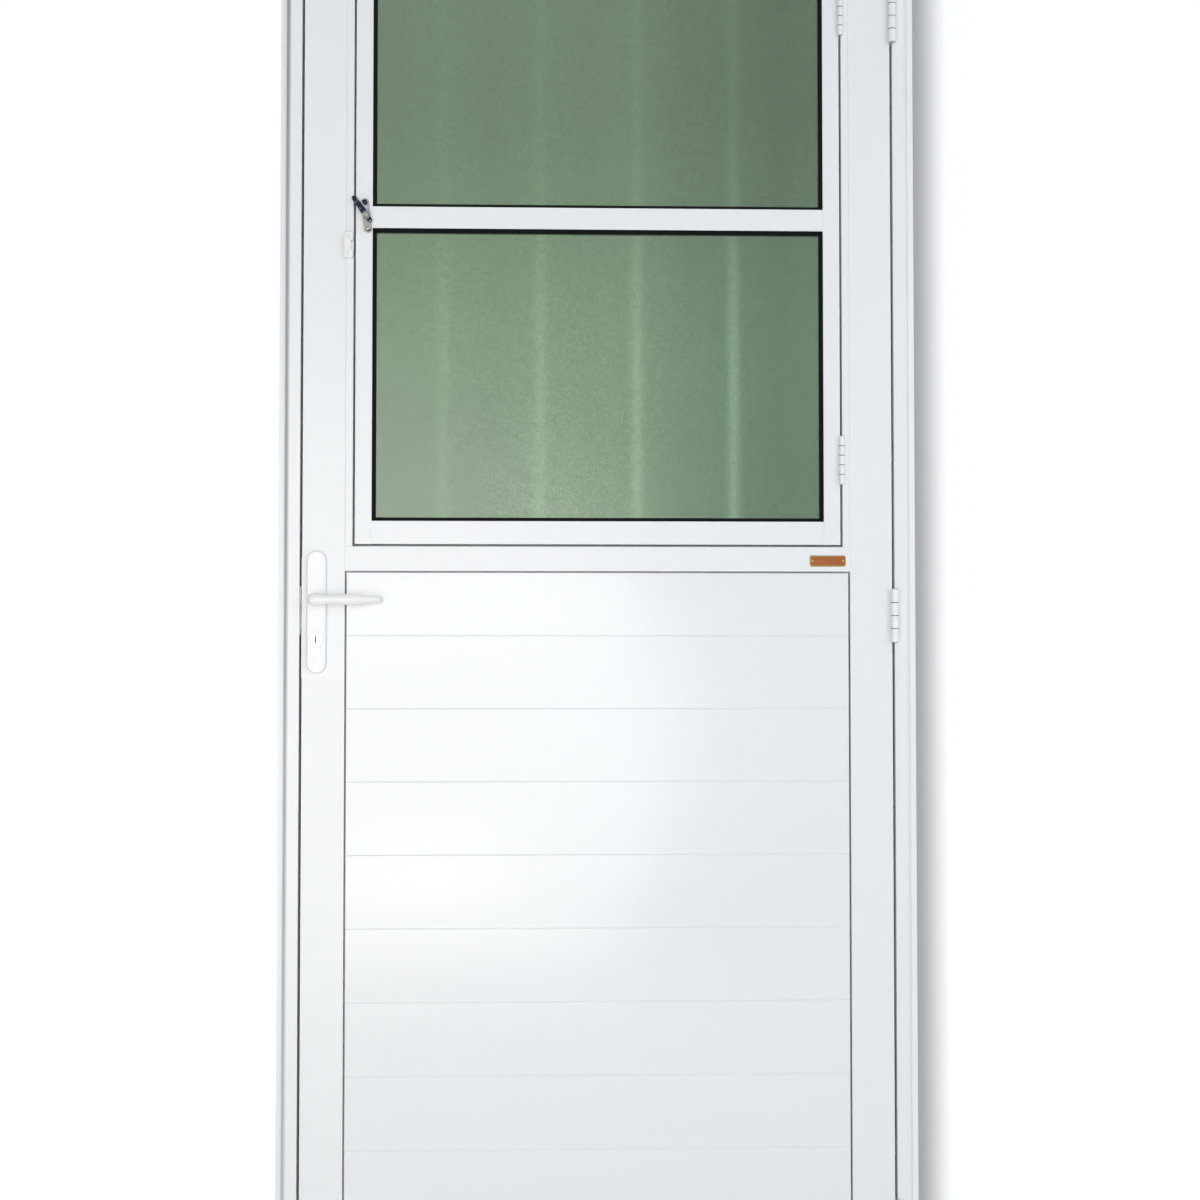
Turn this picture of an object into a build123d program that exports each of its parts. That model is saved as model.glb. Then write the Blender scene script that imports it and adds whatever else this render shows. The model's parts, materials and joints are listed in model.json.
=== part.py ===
from build123d import *
import math
import os

# Aluminium panel door with a ventilation sash, in its own frame.
# X runs to the right seen from the front, -Y points out of the front, Z is up.
# The origin is on the floor, midway along the frame and midway through its depth.
# All sizes are in millimetres.

os.makedirs("parts", exist_ok=True)

# Frame
FRAME_WIDTH = 880.0
FRAME_HEIGHT = 2100.0
FRAME_DEPTH = 50.0
JAMB_FACE = 30.0
FLANGE_WIDTH = 8.8
FLANGE_SETBACK = 7.0
PROUD_CORNER_RADIUS = 5.5
STOP_OVERLAP = 6.0
FRAME_WALL = 1.5
THRESHOLD_HEIGHT = 10.5
THRESHOLD_NOSE = 3.0
THRESHOLD_RAMP = 12.0
THRESHOLD_UPSTAND = 11.5
SEAL_ROOM = 3.0
SEAL_WIDTH = 5.5
SEAL_CLEARANCE = 0.3
SEAL_CHAMFER = 0.9
FIXING_HOLE_RADIUS = 3.25
FIXING_INSET = 300.0
FIXING_TOP_INSET = 360.0
FIXING_COUNT = 4
FIXING_DEPTH_PLACE = -10.0

# Leaf
LEAF_GAP = 3.5
LEAF_DEPTH = 36.0
STILE_WIDTH = 58.5
TOP_RAIL_HEIGHT = 34.0
MIDDLE_RAIL_HEIGHT = 34.0
MIDDLE_RAIL_TOP = 1135.0
BOTTOM_RAIL_HEIGHT = 95.5
LEAF_WALL = 1.6
EDGE_ROUND = 0.8
FIN_REACH = 15.0
FIN_THICKNESS = 1.6
JOINT_CLEARANCE = 0.1

# Boards of the lower panel
SHADOW_GAP = 2.6
BOARD_PITCH = 100.0
BOARD_THICKNESS = 12.0
BOARD_SETBACK = 1.0
BOARD_WALL = 1.2
BOARD_VEE = 0.9
BOARD_CELLS = 3
BOARD_SCREW_INSET = 9.0
TONGUE_THICKNESS = 3.0
TONGUE_REACH = 5.0
TONGUE_CLEARANCE = 0.2

# Upper opening and sash
LINING_WIDTH = 10.0
LINING_WALL = 1.2
STOP_LIP_REACH = 12.0
STOP_LIP_CLEARANCE = 0.4
SASH_GAP = 3.0
SASH_DEPTH = 25.0
SASH_STILE_WIDTH = 23.0
SASH_RAIL_HEIGHT = 32.0
GLAZING_BAR_HEIGHT = 30.0
GLAZING_BAR_RISE = 6.25
SASH_WALL = 1.5
POCKET_DEPTH = 11.2
POCKET_WIDTH = 14.0
GLASS_THICKNESS = 4.0
GLASS_BITE = 7.0
GLASS_FIT = 0.2
GLASS_SETBACK = 8.0
GASKET_SIGHT = 5.0
GASKET_FIT = 0.1
GASKET_SLOPE = 4.5

# Door hinges
DOOR_HINGE_HEIGHT = 72.0
DOOR_HINGE_LOWER = 190.0
DOOR_HINGE_UPPER = 190.5
DOOR_HINGE_KNUCKLES = 4
DOOR_KNUCKLE_RADIUS = 5.5
DOOR_PIN_RADIUS = 3.0
DOOR_HINGE_PLATE = 1.5
DOOR_HINGE_STANDOFF = 6.2
DOOR_HINGE_PLATE_REACH = 30.0
DOOR_HINGE_SCREW_INSET = 12.0
DOOR_PIN_OFFSET = 0.75
DOOR_PIN_HEAD_RADIUS = 4.7
DOOR_PIN_HEAD_HEIGHT = 1.5

# Sash hinges
SASH_HINGE_HEIGHT = 66.0
SASH_HINGE_LOWER = 117.0
SASH_HINGE_UPPER = 147.0
SASH_HINGE_KNUCKLES = 5
SASH_KNUCKLE_RADIUS = 3.8
SASH_PIN_RADIUS = 2.0
SASH_HINGE_PLATE = 1.2
SASH_HINGE_STANDOFF = 4.4
SASH_HINGE_PLATE_REACH = 20.0
SASH_PIN_HEAD_RADIUS = 3.2
SASH_PIN_HEAD_HEIGHT = 1.0

KNUCKLE_CLEARANCE = 0.2
PIN_CLEARANCE = 0.05

# Screws
SCREW_SHANK_RADIUS = 1.75
SCREW_HEAD_RADIUS = 3.2
SCREW_LENGTH = 12.0
SCREW_CLEARANCE = 0.15
PAN_SHANK_RADIUS = 1.5
PAN_HEAD_RADIUS = 3.2
PAN_HEAD_HEIGHT = 1.8
PAN_LENGTH = 4.0

# Lock and furniture
BACKSET = 20.5
SPINDLE_HEIGHT = 1061.0
SPINDLE_SIZE = 8.0
SPINDLE_CLEARANCE = 0.05
CYLINDER_DROP = 53.7
CYLINDER_RADIUS = 8.5
CYLINDER_LOBE_WIDTH = 10.0
CYLINDER_TALL = 33.0
CYLINDER_PROUD = 2.0
CYLINDER_FIT = 0.2
PLUG_RADIUS = 6.5
CAM_RADIUS = 15.2
CAM_WIDTH = 8.0
CAM_THICKNESS = 10.0
KEYWAY_WIDTH = 1.8
KEYWAY_HEIGHT = 8.0
KEYWAY_DEPTH = 18.0
KEYWAY_DROP = 1.0
CAM_CLEARANCE = 0.4
LONG_PLATE_WIDTH = 27.0
LONG_PLATE_LENGTH = 168.0
LONG_PLATE_ABOVE_SPINDLE = 67.5
LONG_PLATE_THICKNESS = 8.0
LONG_PLATE_ROUND = 2.5
BOLT_INSET = 11.5
BOLT_RADIUS = 2.4
BOLT_HEAD_RADIUS = 4.0
BOLT_HEAD_HEIGHT = 1.8
CASE_THICKNESS = 14.0
CASE_WALL = 1.4
CASE_BACK = 26.0
CASE_ABOVE_SPINDLE = 34.0
CASE_BELOW_SPINDLE = 82.0
FACEPLATE_THICKNESS = 1.2
FACEPLATE_WIDTH = 22.0
FACEPLATE_END = 28.0
FACEPLATE_CORNER = 3.0
FOLLOWER_RADIUS = 8.5
TRUNNION_RADIUS = 5.9
FOLLOWER_CLEARANCE = 0.2
LATCH_HEIGHT = 16.0
LATCH_LENGTH = 11.5
LATCH_NOSE = 2.0
LATCH_BEVEL_LENGTH = 8.6
LATCH_TRAVEL = 10.0
FORK_OVERLAP = 1.9
DEADBOLT_HEIGHT = 20.0
DEADBOLT_LENGTH = 31.5
DEADBOLT_DROP = 27.0
BOLT_THICKNESS = 11.0
BOLT_SETBACK = 0.2
BOLT_SLIDE_CLEARANCE = 0.1
STRIKE_THICKNESS = 0.8
STRIKE_MARGIN = 12.0
STRIKE_CLEARANCE = 0.6
STRIKE_POCKET_MARGIN = 0.5

# Levers
LEVER_LENGTH = 89.0
LEVER_NECK_RADIUS = 8.0
LEVER_STANDOFF = 26.0
LEVER_NECK_HEIGHT = 17.0
LEVER_NECK_THICKNESS = 12.0
LEVER_TIP_HEIGHT = 12.0
LEVER_TIP_THICKNESS = 8.0
LEVER_TIP_RETURN = 12.0
LEVER_HEEL_ROUND = 2.0
LEVER_GAP = 0.3

# Fastener and keeper of the sash
FASTENER_BASE_WIDTH = 11.0
FASTENER_BASE_LENGTH = 48.0
FASTENER_BASE_THICKNESS = 2.5
FASTENER_BASE_TILT = 6.5
FASTENER_PLACE = 14.5
FASTENER_RISE = 1.5
FASTENER_HUB_RADIUS = 5.6
FASTENER_STUD_RADIUS = 2.5
FASTENER_STUD_HEAD_RADIUS = 4.0
FASTENER_STUD_HEAD_HEIGHT = 1.2
FASTENER_STUD_TAPER = 25.0
FASTENER_WAIST_RADIUS = 4.4
FASTENER_LEVER_THICKNESS = 3.0
FASTENER_LEVER_ROUND = 0.6
FASTENER_TONGUE_LENGTH = 29.0
FASTENER_TONGUE_ANGLE = 125.0
FASTENER_TONGUE_TIP = 3.2
FASTENER_TAIL_LENGTH = 9.0
KEEPER_WIDTH = 12.4
KEEPER_HEIGHT = 36.0
KEEPER_DROP = 22.0
KEEPER_SKIN = 1.6
KEEPER_SLOT_CLEARANCE = 0.3
KEEPER_SLOT_MARGIN = 0.7
KEEPER_SCREW_OFFSET = 1.5
KEEPER_NOTCH = 3.2
KEEPER_CORNER = 2.0

# Derived planes of the frame
frame_front = -FRAME_DEPTH / 2
frame_back = FRAME_DEPTH / 2
frame_edge = FRAME_WIDTH / 2
jamb_inner = frame_edge - JAMB_FACE
head_inner = FRAME_HEIGHT - JAMB_FACE
flange_front = frame_front + FLANGE_SETBACK

# Derived planes of the leaf
leaf_edge = jamb_inner - LEAF_GAP
leaf_bottom = THRESHOLD_HEIGHT + LEAF_GAP
leaf_top = head_inner - LEAF_GAP
leaf_back = frame_front + LEAF_DEPTH
leaf_middle = frame_front + LEAF_DEPTH / 2
stile_inner = leaf_edge - STILE_WIDTH
stop_front = leaf_back + SEAL_ROOM
stop_edge = leaf_edge - STOP_OVERLAP
opening_top = leaf_top - TOP_RAIL_HEIGHT
middle_rail_bottom = MIDDLE_RAIL_TOP - MIDDLE_RAIL_HEIGHT
bottom_rail_top = leaf_bottom + BOTTOM_RAIL_HEIGHT

# Derived planes of the boards
board_front = frame_front + BOARD_SETBACK
board_back = board_front + BOARD_THICKNESS
fin_back = board_back + FIN_THICKNESS
fin_inner = stile_inner - FIN_REACH
board_edge = stile_inner - SHADOW_GAP
boards_bottom = bottom_rail_top + SHADOW_GAP
boards_top = middle_rail_bottom - SHADOW_GAP
board_count = math.ceil((boards_top - boards_bottom) / BOARD_PITCH)
board_screw_x = stile_inner - BOARD_SCREW_INSET
board_screw_heights = [boards_bottom + BOARD_PITCH * (row + 0.5) for row in range(board_count - 1)]

# Derived planes of the sash
lining_inner = stile_inner - LINING_WIDTH
sash_edge = lining_inner - SASH_GAP
sash_bottom = MIDDLE_RAIL_TOP + SASH_GAP
sash_top = opening_top - SASH_GAP
sash_back = frame_front + SASH_DEPTH
sash_inner = sash_edge - SASH_STILE_WIDTH
lip_front = sash_back + STOP_LIP_CLEARANCE
lip_back = lip_front + FIN_THICKNESS
lip_inner = lining_inner - STOP_LIP_REACH
pocket_front = frame_front + SASH_WALL
pocket_back = pocket_front + POCKET_WIDTH
pocket_middle = (pocket_front + pocket_back) / 2
sash_middle = (frame_front + sash_back) / 2
bar_centre = (sash_bottom + sash_top) / 2 + GLAZING_BAR_RISE
bar_bottom = bar_centre - GLAZING_BAR_HEIGHT / 2
bar_top = bar_centre + GLAZING_BAR_HEIGHT / 2
panes = {
    "lower": (sash_bottom + SASH_RAIL_HEIGHT, bar_bottom),
    "upper": (bar_top, sash_top - SASH_RAIL_HEIGHT),
}

# Derived hinge places
door_hinge_x = leaf_edge + LEAF_GAP / 2 + DOOR_PIN_OFFSET
door_hinge_y = frame_front - DOOR_HINGE_STANDOFF
door_hinge_low = leaf_bottom + DOOR_HINGE_LOWER
door_hinge_high = leaf_top - DOOR_HINGE_UPPER
door_hinges = {
    "lower": door_hinge_low,
    "middle": (door_hinge_low + door_hinge_high) / 2,
    "upper": door_hinge_high,
}
sash_hinge_x = sash_edge + SASH_GAP / 2
sash_hinge_y = frame_front - SASH_HINGE_STANDOFF
sash_hinges = {
    "lower": sash_bottom + SASH_HINGE_LOWER,
    "upper": sash_top - SASH_HINGE_UPPER,
}

# Derived lock places
spindle_x = BACKSET - leaf_edge
cylinder_height = SPINDLE_HEIGHT - CYLINDER_DROP
lobe_drop = CYLINDER_TALL - CYLINDER_RADIUS - CYLINDER_LOBE_WIDTH / 2
plate_top = SPINDLE_HEIGHT + LONG_PLATE_ABOVE_SPINDLE
plate_centre = plate_top - LONG_PLATE_LENGTH / 2
bolt_heights = (plate_top - BOLT_INSET, plate_top - LONG_PLATE_LENGTH + BOLT_INSET)
plate_front = frame_front - LONG_PLATE_THICKNESS
plate_back = leaf_back + LONG_PLATE_THICKNESS
cylinder_front = plate_front - CYLINDER_PROUD
cylinder_back = plate_back + CYLINDER_PROUD
case_front = leaf_middle - CASE_THICKNESS / 2
case_top = SPINDLE_HEIGHT + CASE_ABOVE_SPINDLE
case_bottom = SPINDLE_HEIGHT - CASE_BELOW_SPINDLE
faceplate_x = -leaf_edge - FACEPLATE_THICKNESS
case_inner_x = spindle_x + CASE_BACK
bolt_tip_x = faceplate_x + BOLT_SETBACK
deadbolt_height = SPINDLE_HEIGHT - DEADBOLT_DROP
lock_screw_heights = (case_top + FACEPLATE_END / 2, case_bottom - FACEPLATE_END / 2)
strike_top = SPINDLE_HEIGHT + LATCH_HEIGHT / 2 + STRIKE_MARGIN + STRIKE_CLEARANCE
strike_bottom = deadbolt_height - DEADBOLT_HEIGHT / 2 - STRIKE_MARGIN - STRIKE_CLEARANCE
strike_screw_heights = (strike_top - STRIKE_MARGIN / 2, strike_bottom + STRIKE_MARGIN / 2)

# Derived fastener places
pivot_x = FASTENER_PLACE - sash_edge
pivot_z = bar_centre + FASTENER_RISE
fastener_front = frame_front - FASTENER_BASE_THICKNESS
tongue_front = fastener_front - JOINT_CLEARANCE - FASTENER_LEVER_THICKNESS
keeper_x = -lining_inner - KEEPER_WIDTH / 2
keeper_front = tongue_front - KEEPER_SLOT_CLEARANCE - KEEPER_SKIN
keeper_top = bar_centre - KEEPER_DROP
keeper_z = keeper_top - KEEPER_HEIGHT / 2
keeper_screw_x = keeper_x - KEEPER_SCREW_OFFSET
keeper_screw_heights = (keeper_z - KEEPER_HEIGHT / 3, keeper_z + KEEPER_HEIGHT / 3)


def jamb_section(outer):
    """The frame extrusion, its outer face at the given distance along the first axis."""
    inner = outer - JAMB_FACE
    stop = outer - frame_edge + stop_edge
    shoulder = outer - FLANGE_WIDTH
    with BuildSketch() as section:
        with BuildLine():
            Polyline(
                (shoulder - PROUD_CORNER_RADIUS, frame_front),
                (inner, frame_front),
                (inner, stop_front),
                (stop, stop_front),
                (stop, frame_back),
                (outer, frame_back),
                (outer, flange_front),
                (shoulder, flange_front),
                (shoulder, frame_front + PROUD_CORNER_RADIUS),
            )
            CenterArc(
                (shoulder - PROUD_CORNER_RADIUS, frame_front + PROUD_CORNER_RADIUS),
                PROUD_CORNER_RADIUS,
                270,
                90,
            )
        make_face()
        offset(amount=-FRAME_WALL, kind=Kind.INTERSECTION, mode=Mode.SUBTRACT)
    return section.sketch


def box_section(near, far, low, high, wall):
    """A rectangular tube with slightly rounded outer corners."""
    with BuildSketch() as section:
        with Locations(((near + far) / 2, (low + high) / 2)):
            RectangleRounded(far - near, high - low, EDGE_ROUND)
            Rectangle(far - near - 2 * wall, high - low - 2 * wall, mode=Mode.SUBTRACT)
    return section.sketch


def board_section(tongue):
    """One board seen from its end, depth along the first axis and height along the second."""
    middle = (board_front + board_back) / 2
    floor = TONGUE_REACH + TONGUE_CLEARANCE + BOARD_WALL
    cell = (BOARD_PITCH - floor - BOARD_CELLS * BOARD_WALL) / BOARD_CELLS
    with BuildSketch() as section:
        with BuildLine():
            Polyline(
                (board_front + BOARD_VEE, 0),
                (board_back, 0),
                (board_back, BOARD_PITCH),
                (board_front + BOARD_VEE, BOARD_PITCH),
                (board_front, BOARD_PITCH - BOARD_VEE),
                (board_front, BOARD_VEE),
                close=True,
            )
        make_face()
        for index in range(BOARD_CELLS):
            with Locations((middle, floor + cell / 2 + index * (cell + BOARD_WALL))):
                Rectangle(BOARD_THICKNESS - 2 * BOARD_WALL, cell, mode=Mode.SUBTRACT)
        groove = TONGUE_THICKNESS + 2 * TONGUE_CLEARANCE
        with Locations((middle, (TONGUE_REACH + TONGUE_CLEARANCE) / 2)):
            Rectangle(groove, TONGUE_REACH + TONGUE_CLEARANCE, mode=Mode.SUBTRACT)
        if tongue:
            with Locations((middle, BOARD_PITCH + TONGUE_REACH / 2)):
                Rectangle(TONGUE_THICKNESS, TONGUE_REACH)
    return section.sketch


def sash_section(width, double):
    """The sash extrusion from its outer edge at zero: a glass pocket at the far edge, or at both."""
    near = POCKET_DEPTH if double else 0.0
    web = width - near - POCKET_DEPTH - 2 * SASH_WALL
    back = sash_back - pocket_back - 2 * SASH_WALL
    with BuildSketch() as section:
        with Locations((width / 2, sash_middle)):
            RectangleRounded(width, SASH_DEPTH, EDGE_ROUND)
        with Locations((width - POCKET_DEPTH / 2, pocket_middle)):
            Rectangle(POCKET_DEPTH, POCKET_WIDTH, mode=Mode.SUBTRACT)
        if double:
            with Locations((POCKET_DEPTH / 2, pocket_middle)):
                Rectangle(POCKET_DEPTH, POCKET_WIDTH, mode=Mode.SUBTRACT)
        with Locations((near + SASH_WALL + web / 2, sash_middle)):
            Rectangle(web, SASH_DEPTH - 2 * SASH_WALL, mode=Mode.SUBTRACT)
        with Locations((width / 2, sash_back - SASH_WALL - back / 2)):
            Rectangle(width - 2 * SASH_WALL, back, mode=Mode.SUBTRACT)
    return section.sketch


def euro_section(grow):
    """The lock cylinder's outline about its round part's centre: a circle over a narrow lobe."""
    with BuildSketch() as section:
        Circle(CYLINDER_RADIUS + grow)
        with Locations((0, -lobe_drop)):
            Circle(CYLINDER_LOBE_WIDTH / 2 + grow)
        with Locations((0, -lobe_drop / 2)):
            Rectangle(CYLINDER_LOBE_WIDTH + 2 * grow, lobe_drop)
    return section.sketch


def bolt_windows(clearance):
    """Openings round the latch and the deadbolt, depth along the first axis and height along the second."""
    with BuildSketch() as windows:
        for height, tall in ((SPINDLE_HEIGHT, LATCH_HEIGHT), (deadbolt_height, DEADBOLT_HEIGHT)):
            with Locations((leaf_middle, height)):
                Rectangle(BOLT_THICKNESS + 2 * clearance, tall + 2 * clearance)
    return windows.sketch


def hinge_side(sizes, height, knuckles, first, plate):
    """One side of a butt hinge about the Z axis: a plate and every second knuckle."""
    radius, pin_radius, standoff, reach = sizes
    left, right = plate
    centre = (left + right) / 2
    knuckle = height / knuckles
    with BuildPart() as side:
        with BuildSketch(Plane.XY.offset(-height / 2)):
            with Locations((centre, (standoff + reach) / 2)):
                Rectangle(right - left, reach - standoff)
        extrude(amount=height)
        for index in range(first, knuckles, 2):
            low = index * knuckle + KNUCKLE_CLEARANCE / 2 - height / 2
            with BuildSketch(Plane.XY.offset(low)):
                Circle(radius)
                with Locations((centre, standoff / 2)):
                    Rectangle(right - left, standoff)
                Circle(pin_radius + PIN_CLEARANCE, mode=Mode.SUBTRACT)
            extrude(amount=knuckle - KNUCKLE_CLEARANCE)
    return side.part


def hinge_pin(radius, head_radius, height, head):
    """A pin about the Z axis with a domed head at each end."""
    with BuildPart() as pin:
        with BuildSketch(Plane.XZ):
            with BuildLine():
                half = height / 2
                Polyline((0, half + head), (0, -half - head), (radius, -half - head))
                Line((radius, -half - head), (head_radius, -half - head / 3))
                Polyline(
                    (head_radius, -half - head / 3),
                    (head_radius, -half),
                    (radius, -half),
                    (radius, half),
                    (head_radius, half),
                    (head_radius, half + head / 3),
                    (radius, half + head),
                    (0, half + head),
                )
            make_face()
        revolve(axis=Axis.Z)
    return pin.part


def countersunk_screw(grow):
    """A countersunk screw, its head's outer face on XY and its shank down the Z axis."""
    head = SCREW_HEAD_RADIUS + grow
    shank = SCREW_SHANK_RADIUS + grow
    depth = head - shank
    with BuildPart() as screw:
        with BuildSketch(Plane.XZ):
            with BuildLine():
                Polyline(
                    (0, 0),
                    (head, 0),
                    (shank, -depth),
                    (shank, -SCREW_LENGTH - grow),
                    (0, -SCREW_LENGTH - grow),
                    close=True,
                )
            make_face()
        revolve(axis=Axis.Z)
    return screw.part


def pan_screw():
    """A pan-head screw, its head standing on XY and its shank down the Z axis."""
    with BuildPart() as screw:
        with BuildSketch():
            Circle(PAN_HEAD_RADIUS)
        extrude(amount=PAN_HEAD_HEIGHT)
        with BuildSketch():
            Circle(PAN_SHANK_RADIUS)
        extrude(amount=-PAN_LENGTH)
    return screw.part


def placed(shape, x, y, z, outward):
    """The shape with its own Z axis turned to the outward direction at a point."""
    return shape.moved(Plane(origin=(x, y, z), z_dir=outward).location)


countersunk = countersunk_screw(0.0)
countersunk_room = countersunk_screw(SCREW_CLEARANCE)
pan_head = pan_screw()

# Places of the hinge screws in the gap: two on each plate
hinge_screw_y = door_hinge_y + DOOR_HINGE_STANDOFF + DOOR_HINGE_PLATE_REACH / 3
hinge_screw_rise = DOOR_HINGE_HEIGHT / 2 - DOOR_HINGE_SCREW_INSET
hinge_screw_heights = [
    centre + step for centre in door_hinges.values() for step in (-hinge_screw_rise, hinge_screw_rise)
]
fixing_pitch = (FRAME_HEIGHT - FIXING_INSET - FIXING_TOP_INSET) / (FIXING_COUNT - 1)
fixing_heights = [FIXING_INSET + index * fixing_pitch for index in range(FIXING_COUNT)]


def mitre_plane(side):
    """The plane of the mitre at one top corner of the frame, facing the jamb."""
    return Plane(origin=(side * frame_edge, 0, FRAME_HEIGHT), z_dir=(side, 0, -1))


def jamb():
    """The right jamb, mitred at the top and drilled for its fixings."""
    with BuildPart() as post:
        with BuildSketch():
            add(jamb_section(frame_edge))
        extrude(amount=FRAME_HEIGHT)
        split(bisect_by=mitre_plane(1), keep=Keep.TOP)
        with BuildSketch(Plane.YZ.offset(stop_edge)):
            with Locations(*[(FIXING_DEPTH_PLACE, height) for height in fixing_heights]):
                Circle(FIXING_HOLE_RADIUS)
        extrude(amount=frame_edge - stop_edge, mode=Mode.SUBTRACT)
    return post.part


# Frame: right jamb with the screw holes of the hinges
with BuildPart() as jamb_right:
    add(jamb())
    for height in hinge_screw_heights:
        add(
            placed(countersunk_room, jamb_inner - DOOR_HINGE_PLATE, hinge_screw_y, height, (-1, 0, 0)),
            mode=Mode.SUBTRACT,
        )
jamb_right.part.label = "jamb_right"
export_step(jamb_right.part, "parts/jamb_right.step")

# Frame: left jamb with the openings for the latch and the deadbolt
with BuildPart() as jamb_left:
    mirror(jamb(), about=Plane.YZ)
    with BuildSketch(Plane.YZ.offset(-jamb_inner - 2 * FRAME_WALL)):
        add(bolt_windows(STRIKE_CLEARANCE + STRIKE_POCKET_MARGIN))
    extrude(amount=3 * FRAME_WALL, mode=Mode.SUBTRACT)
    for height in strike_screw_heights:
        add(
            placed(countersunk_room, STRIKE_THICKNESS - jamb_inner, leaf_middle, height, (1, 0, 0)),
            mode=Mode.SUBTRACT,
        )
jamb_left.part.label = "jamb_left"
export_step(jamb_left.part, "parts/jamb_left.step")

# Frame: head, mitred to both jambs
head_plane = Plane(
    origin=(frame_edge, 0, FRAME_HEIGHT - frame_edge), x_dir=(0, 0, 1), z_dir=(-1, 0, 0)
)
with BuildPart() as frame_head:
    with BuildSketch(head_plane):
        add(jamb_section(frame_edge))
    extrude(amount=FRAME_WIDTH)
    split(bisect_by=mitre_plane(1), keep=Keep.BOTTOM)
    split(bisect_by=mitre_plane(-1), keep=Keep.BOTTOM)
frame_head.part.label = "frame_head"
export_step(frame_head.part, "parts/frame_head.step")

# Frame: threshold with a ramp and a rear upstand, notched round the jambs' stops
threshold_points = [
    (frame_front, 0),
    (frame_back, 0),
    (frame_back, THRESHOLD_HEIGHT + THRESHOLD_UPSTAND),
    (stop_front, THRESHOLD_HEIGHT + THRESHOLD_UPSTAND),
    (stop_front, THRESHOLD_HEIGHT),
    (frame_front + THRESHOLD_RAMP, THRESHOLD_HEIGHT),
    (frame_front, THRESHOLD_NOSE),
]
notch = jamb_inner - stop_edge + JOINT_CLEARANCE
with BuildPart() as threshold:
    with BuildSketch(Plane.YZ.offset(-jamb_inner)):
        with BuildLine():
            Polyline(*threshold_points, close=True)
        make_face()
        with BuildLine():
            Polyline(
                (frame_front + THRESHOLD_NOSE, FRAME_WALL),
                (frame_back - FRAME_WALL, FRAME_WALL),
                (frame_back - FRAME_WALL, THRESHOLD_HEIGHT + THRESHOLD_UPSTAND - FRAME_WALL),
                (stop_front + FRAME_WALL, THRESHOLD_HEIGHT + THRESHOLD_UPSTAND - FRAME_WALL),
                (stop_front + FRAME_WALL, THRESHOLD_HEIGHT - FRAME_WALL),
                (frame_front + THRESHOLD_RAMP, THRESHOLD_HEIGHT - FRAME_WALL),
                close=True,
            )
        make_face(mode=Mode.SUBTRACT)
    extrude(amount=2 * jamb_inner)
    with BuildSketch():
        for side in (-1, 1):
            with Locations((side * (jamb_inner - notch / 2), frame_back)):
                Rectangle(notch, 2 * (frame_back - stop_front + JOINT_CLEARANCE))
    extrude(amount=THRESHOLD_HEIGHT + THRESHOLD_UPSTAND, mode=Mode.SUBTRACT)
threshold.part.label = "threshold"
export_step(threshold.part, "parts/threshold.step")

# Frame: rubber seal in one length along the stops of both jambs and the head
seal_bottom = THRESHOLD_HEIGHT + THRESHOLD_UPSTAND + JOINT_CLEARANCE
with BuildPart() as frame_seal:
    with BuildSketch(Plane.XZ.offset(-stop_front)):
        with Locations((0, (seal_bottom + leaf_top) / 2)):
            Rectangle(2 * leaf_edge, leaf_top - seal_bottom)
        with Locations((0, (seal_bottom + leaf_top - SEAL_WIDTH) / 2)):
            Rectangle(
                2 * (leaf_edge - SEAL_WIDTH), leaf_top - SEAL_WIDTH - seal_bottom, mode=Mode.SUBTRACT
            )
    extrude(amount=SEAL_ROOM - SEAL_CLEARANCE)
    chamfer(frame_seal.faces().sort_by(Axis.Y)[0].edges(), SEAL_CHAMFER)
frame_seal.part.label = "frame_seal"
export_step(frame_seal.part, "parts/frame_seal.step")

# Frame: strike plate with holes for the latch and the deadbolt
with BuildPart() as strike_plate:
    with BuildSketch(Plane.YZ.offset(-jamb_inner)):
        with Locations((leaf_middle, (strike_top + strike_bottom) / 2)):
            RectangleRounded(FACEPLATE_WIDTH, strike_top - strike_bottom, FACEPLATE_CORNER)
        add(bolt_windows(STRIKE_CLEARANCE), mode=Mode.SUBTRACT)
    extrude(amount=STRIKE_THICKNESS)
    for height in strike_screw_heights:
        add(
            placed(countersunk_room, STRIKE_THICKNESS - jamb_inner, leaf_middle, height, (1, 0, 0)),
            mode=Mode.SUBTRACT,
        )
strike_plate.part.label = "strike_plate"
export_step(strike_plate.part, "parts/strike_plate.step")

# Frame: countersunk screws of the hinges and the strike plate
with BuildPart() as frame_screws:
    for height in hinge_screw_heights:
        add(placed(countersunk, jamb_inner - DOOR_HINGE_PLATE, hinge_screw_y, height, (-1, 0, 0)))
    for height in strike_screw_heights:
        add(placed(countersunk, STRIKE_THICKNESS - jamb_inner, leaf_middle, height, (1, 0, 0)))
frame_screws.part.label = "frame_screws"
export_step(frame_screws.part, "parts/frame_screws.step")

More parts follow.
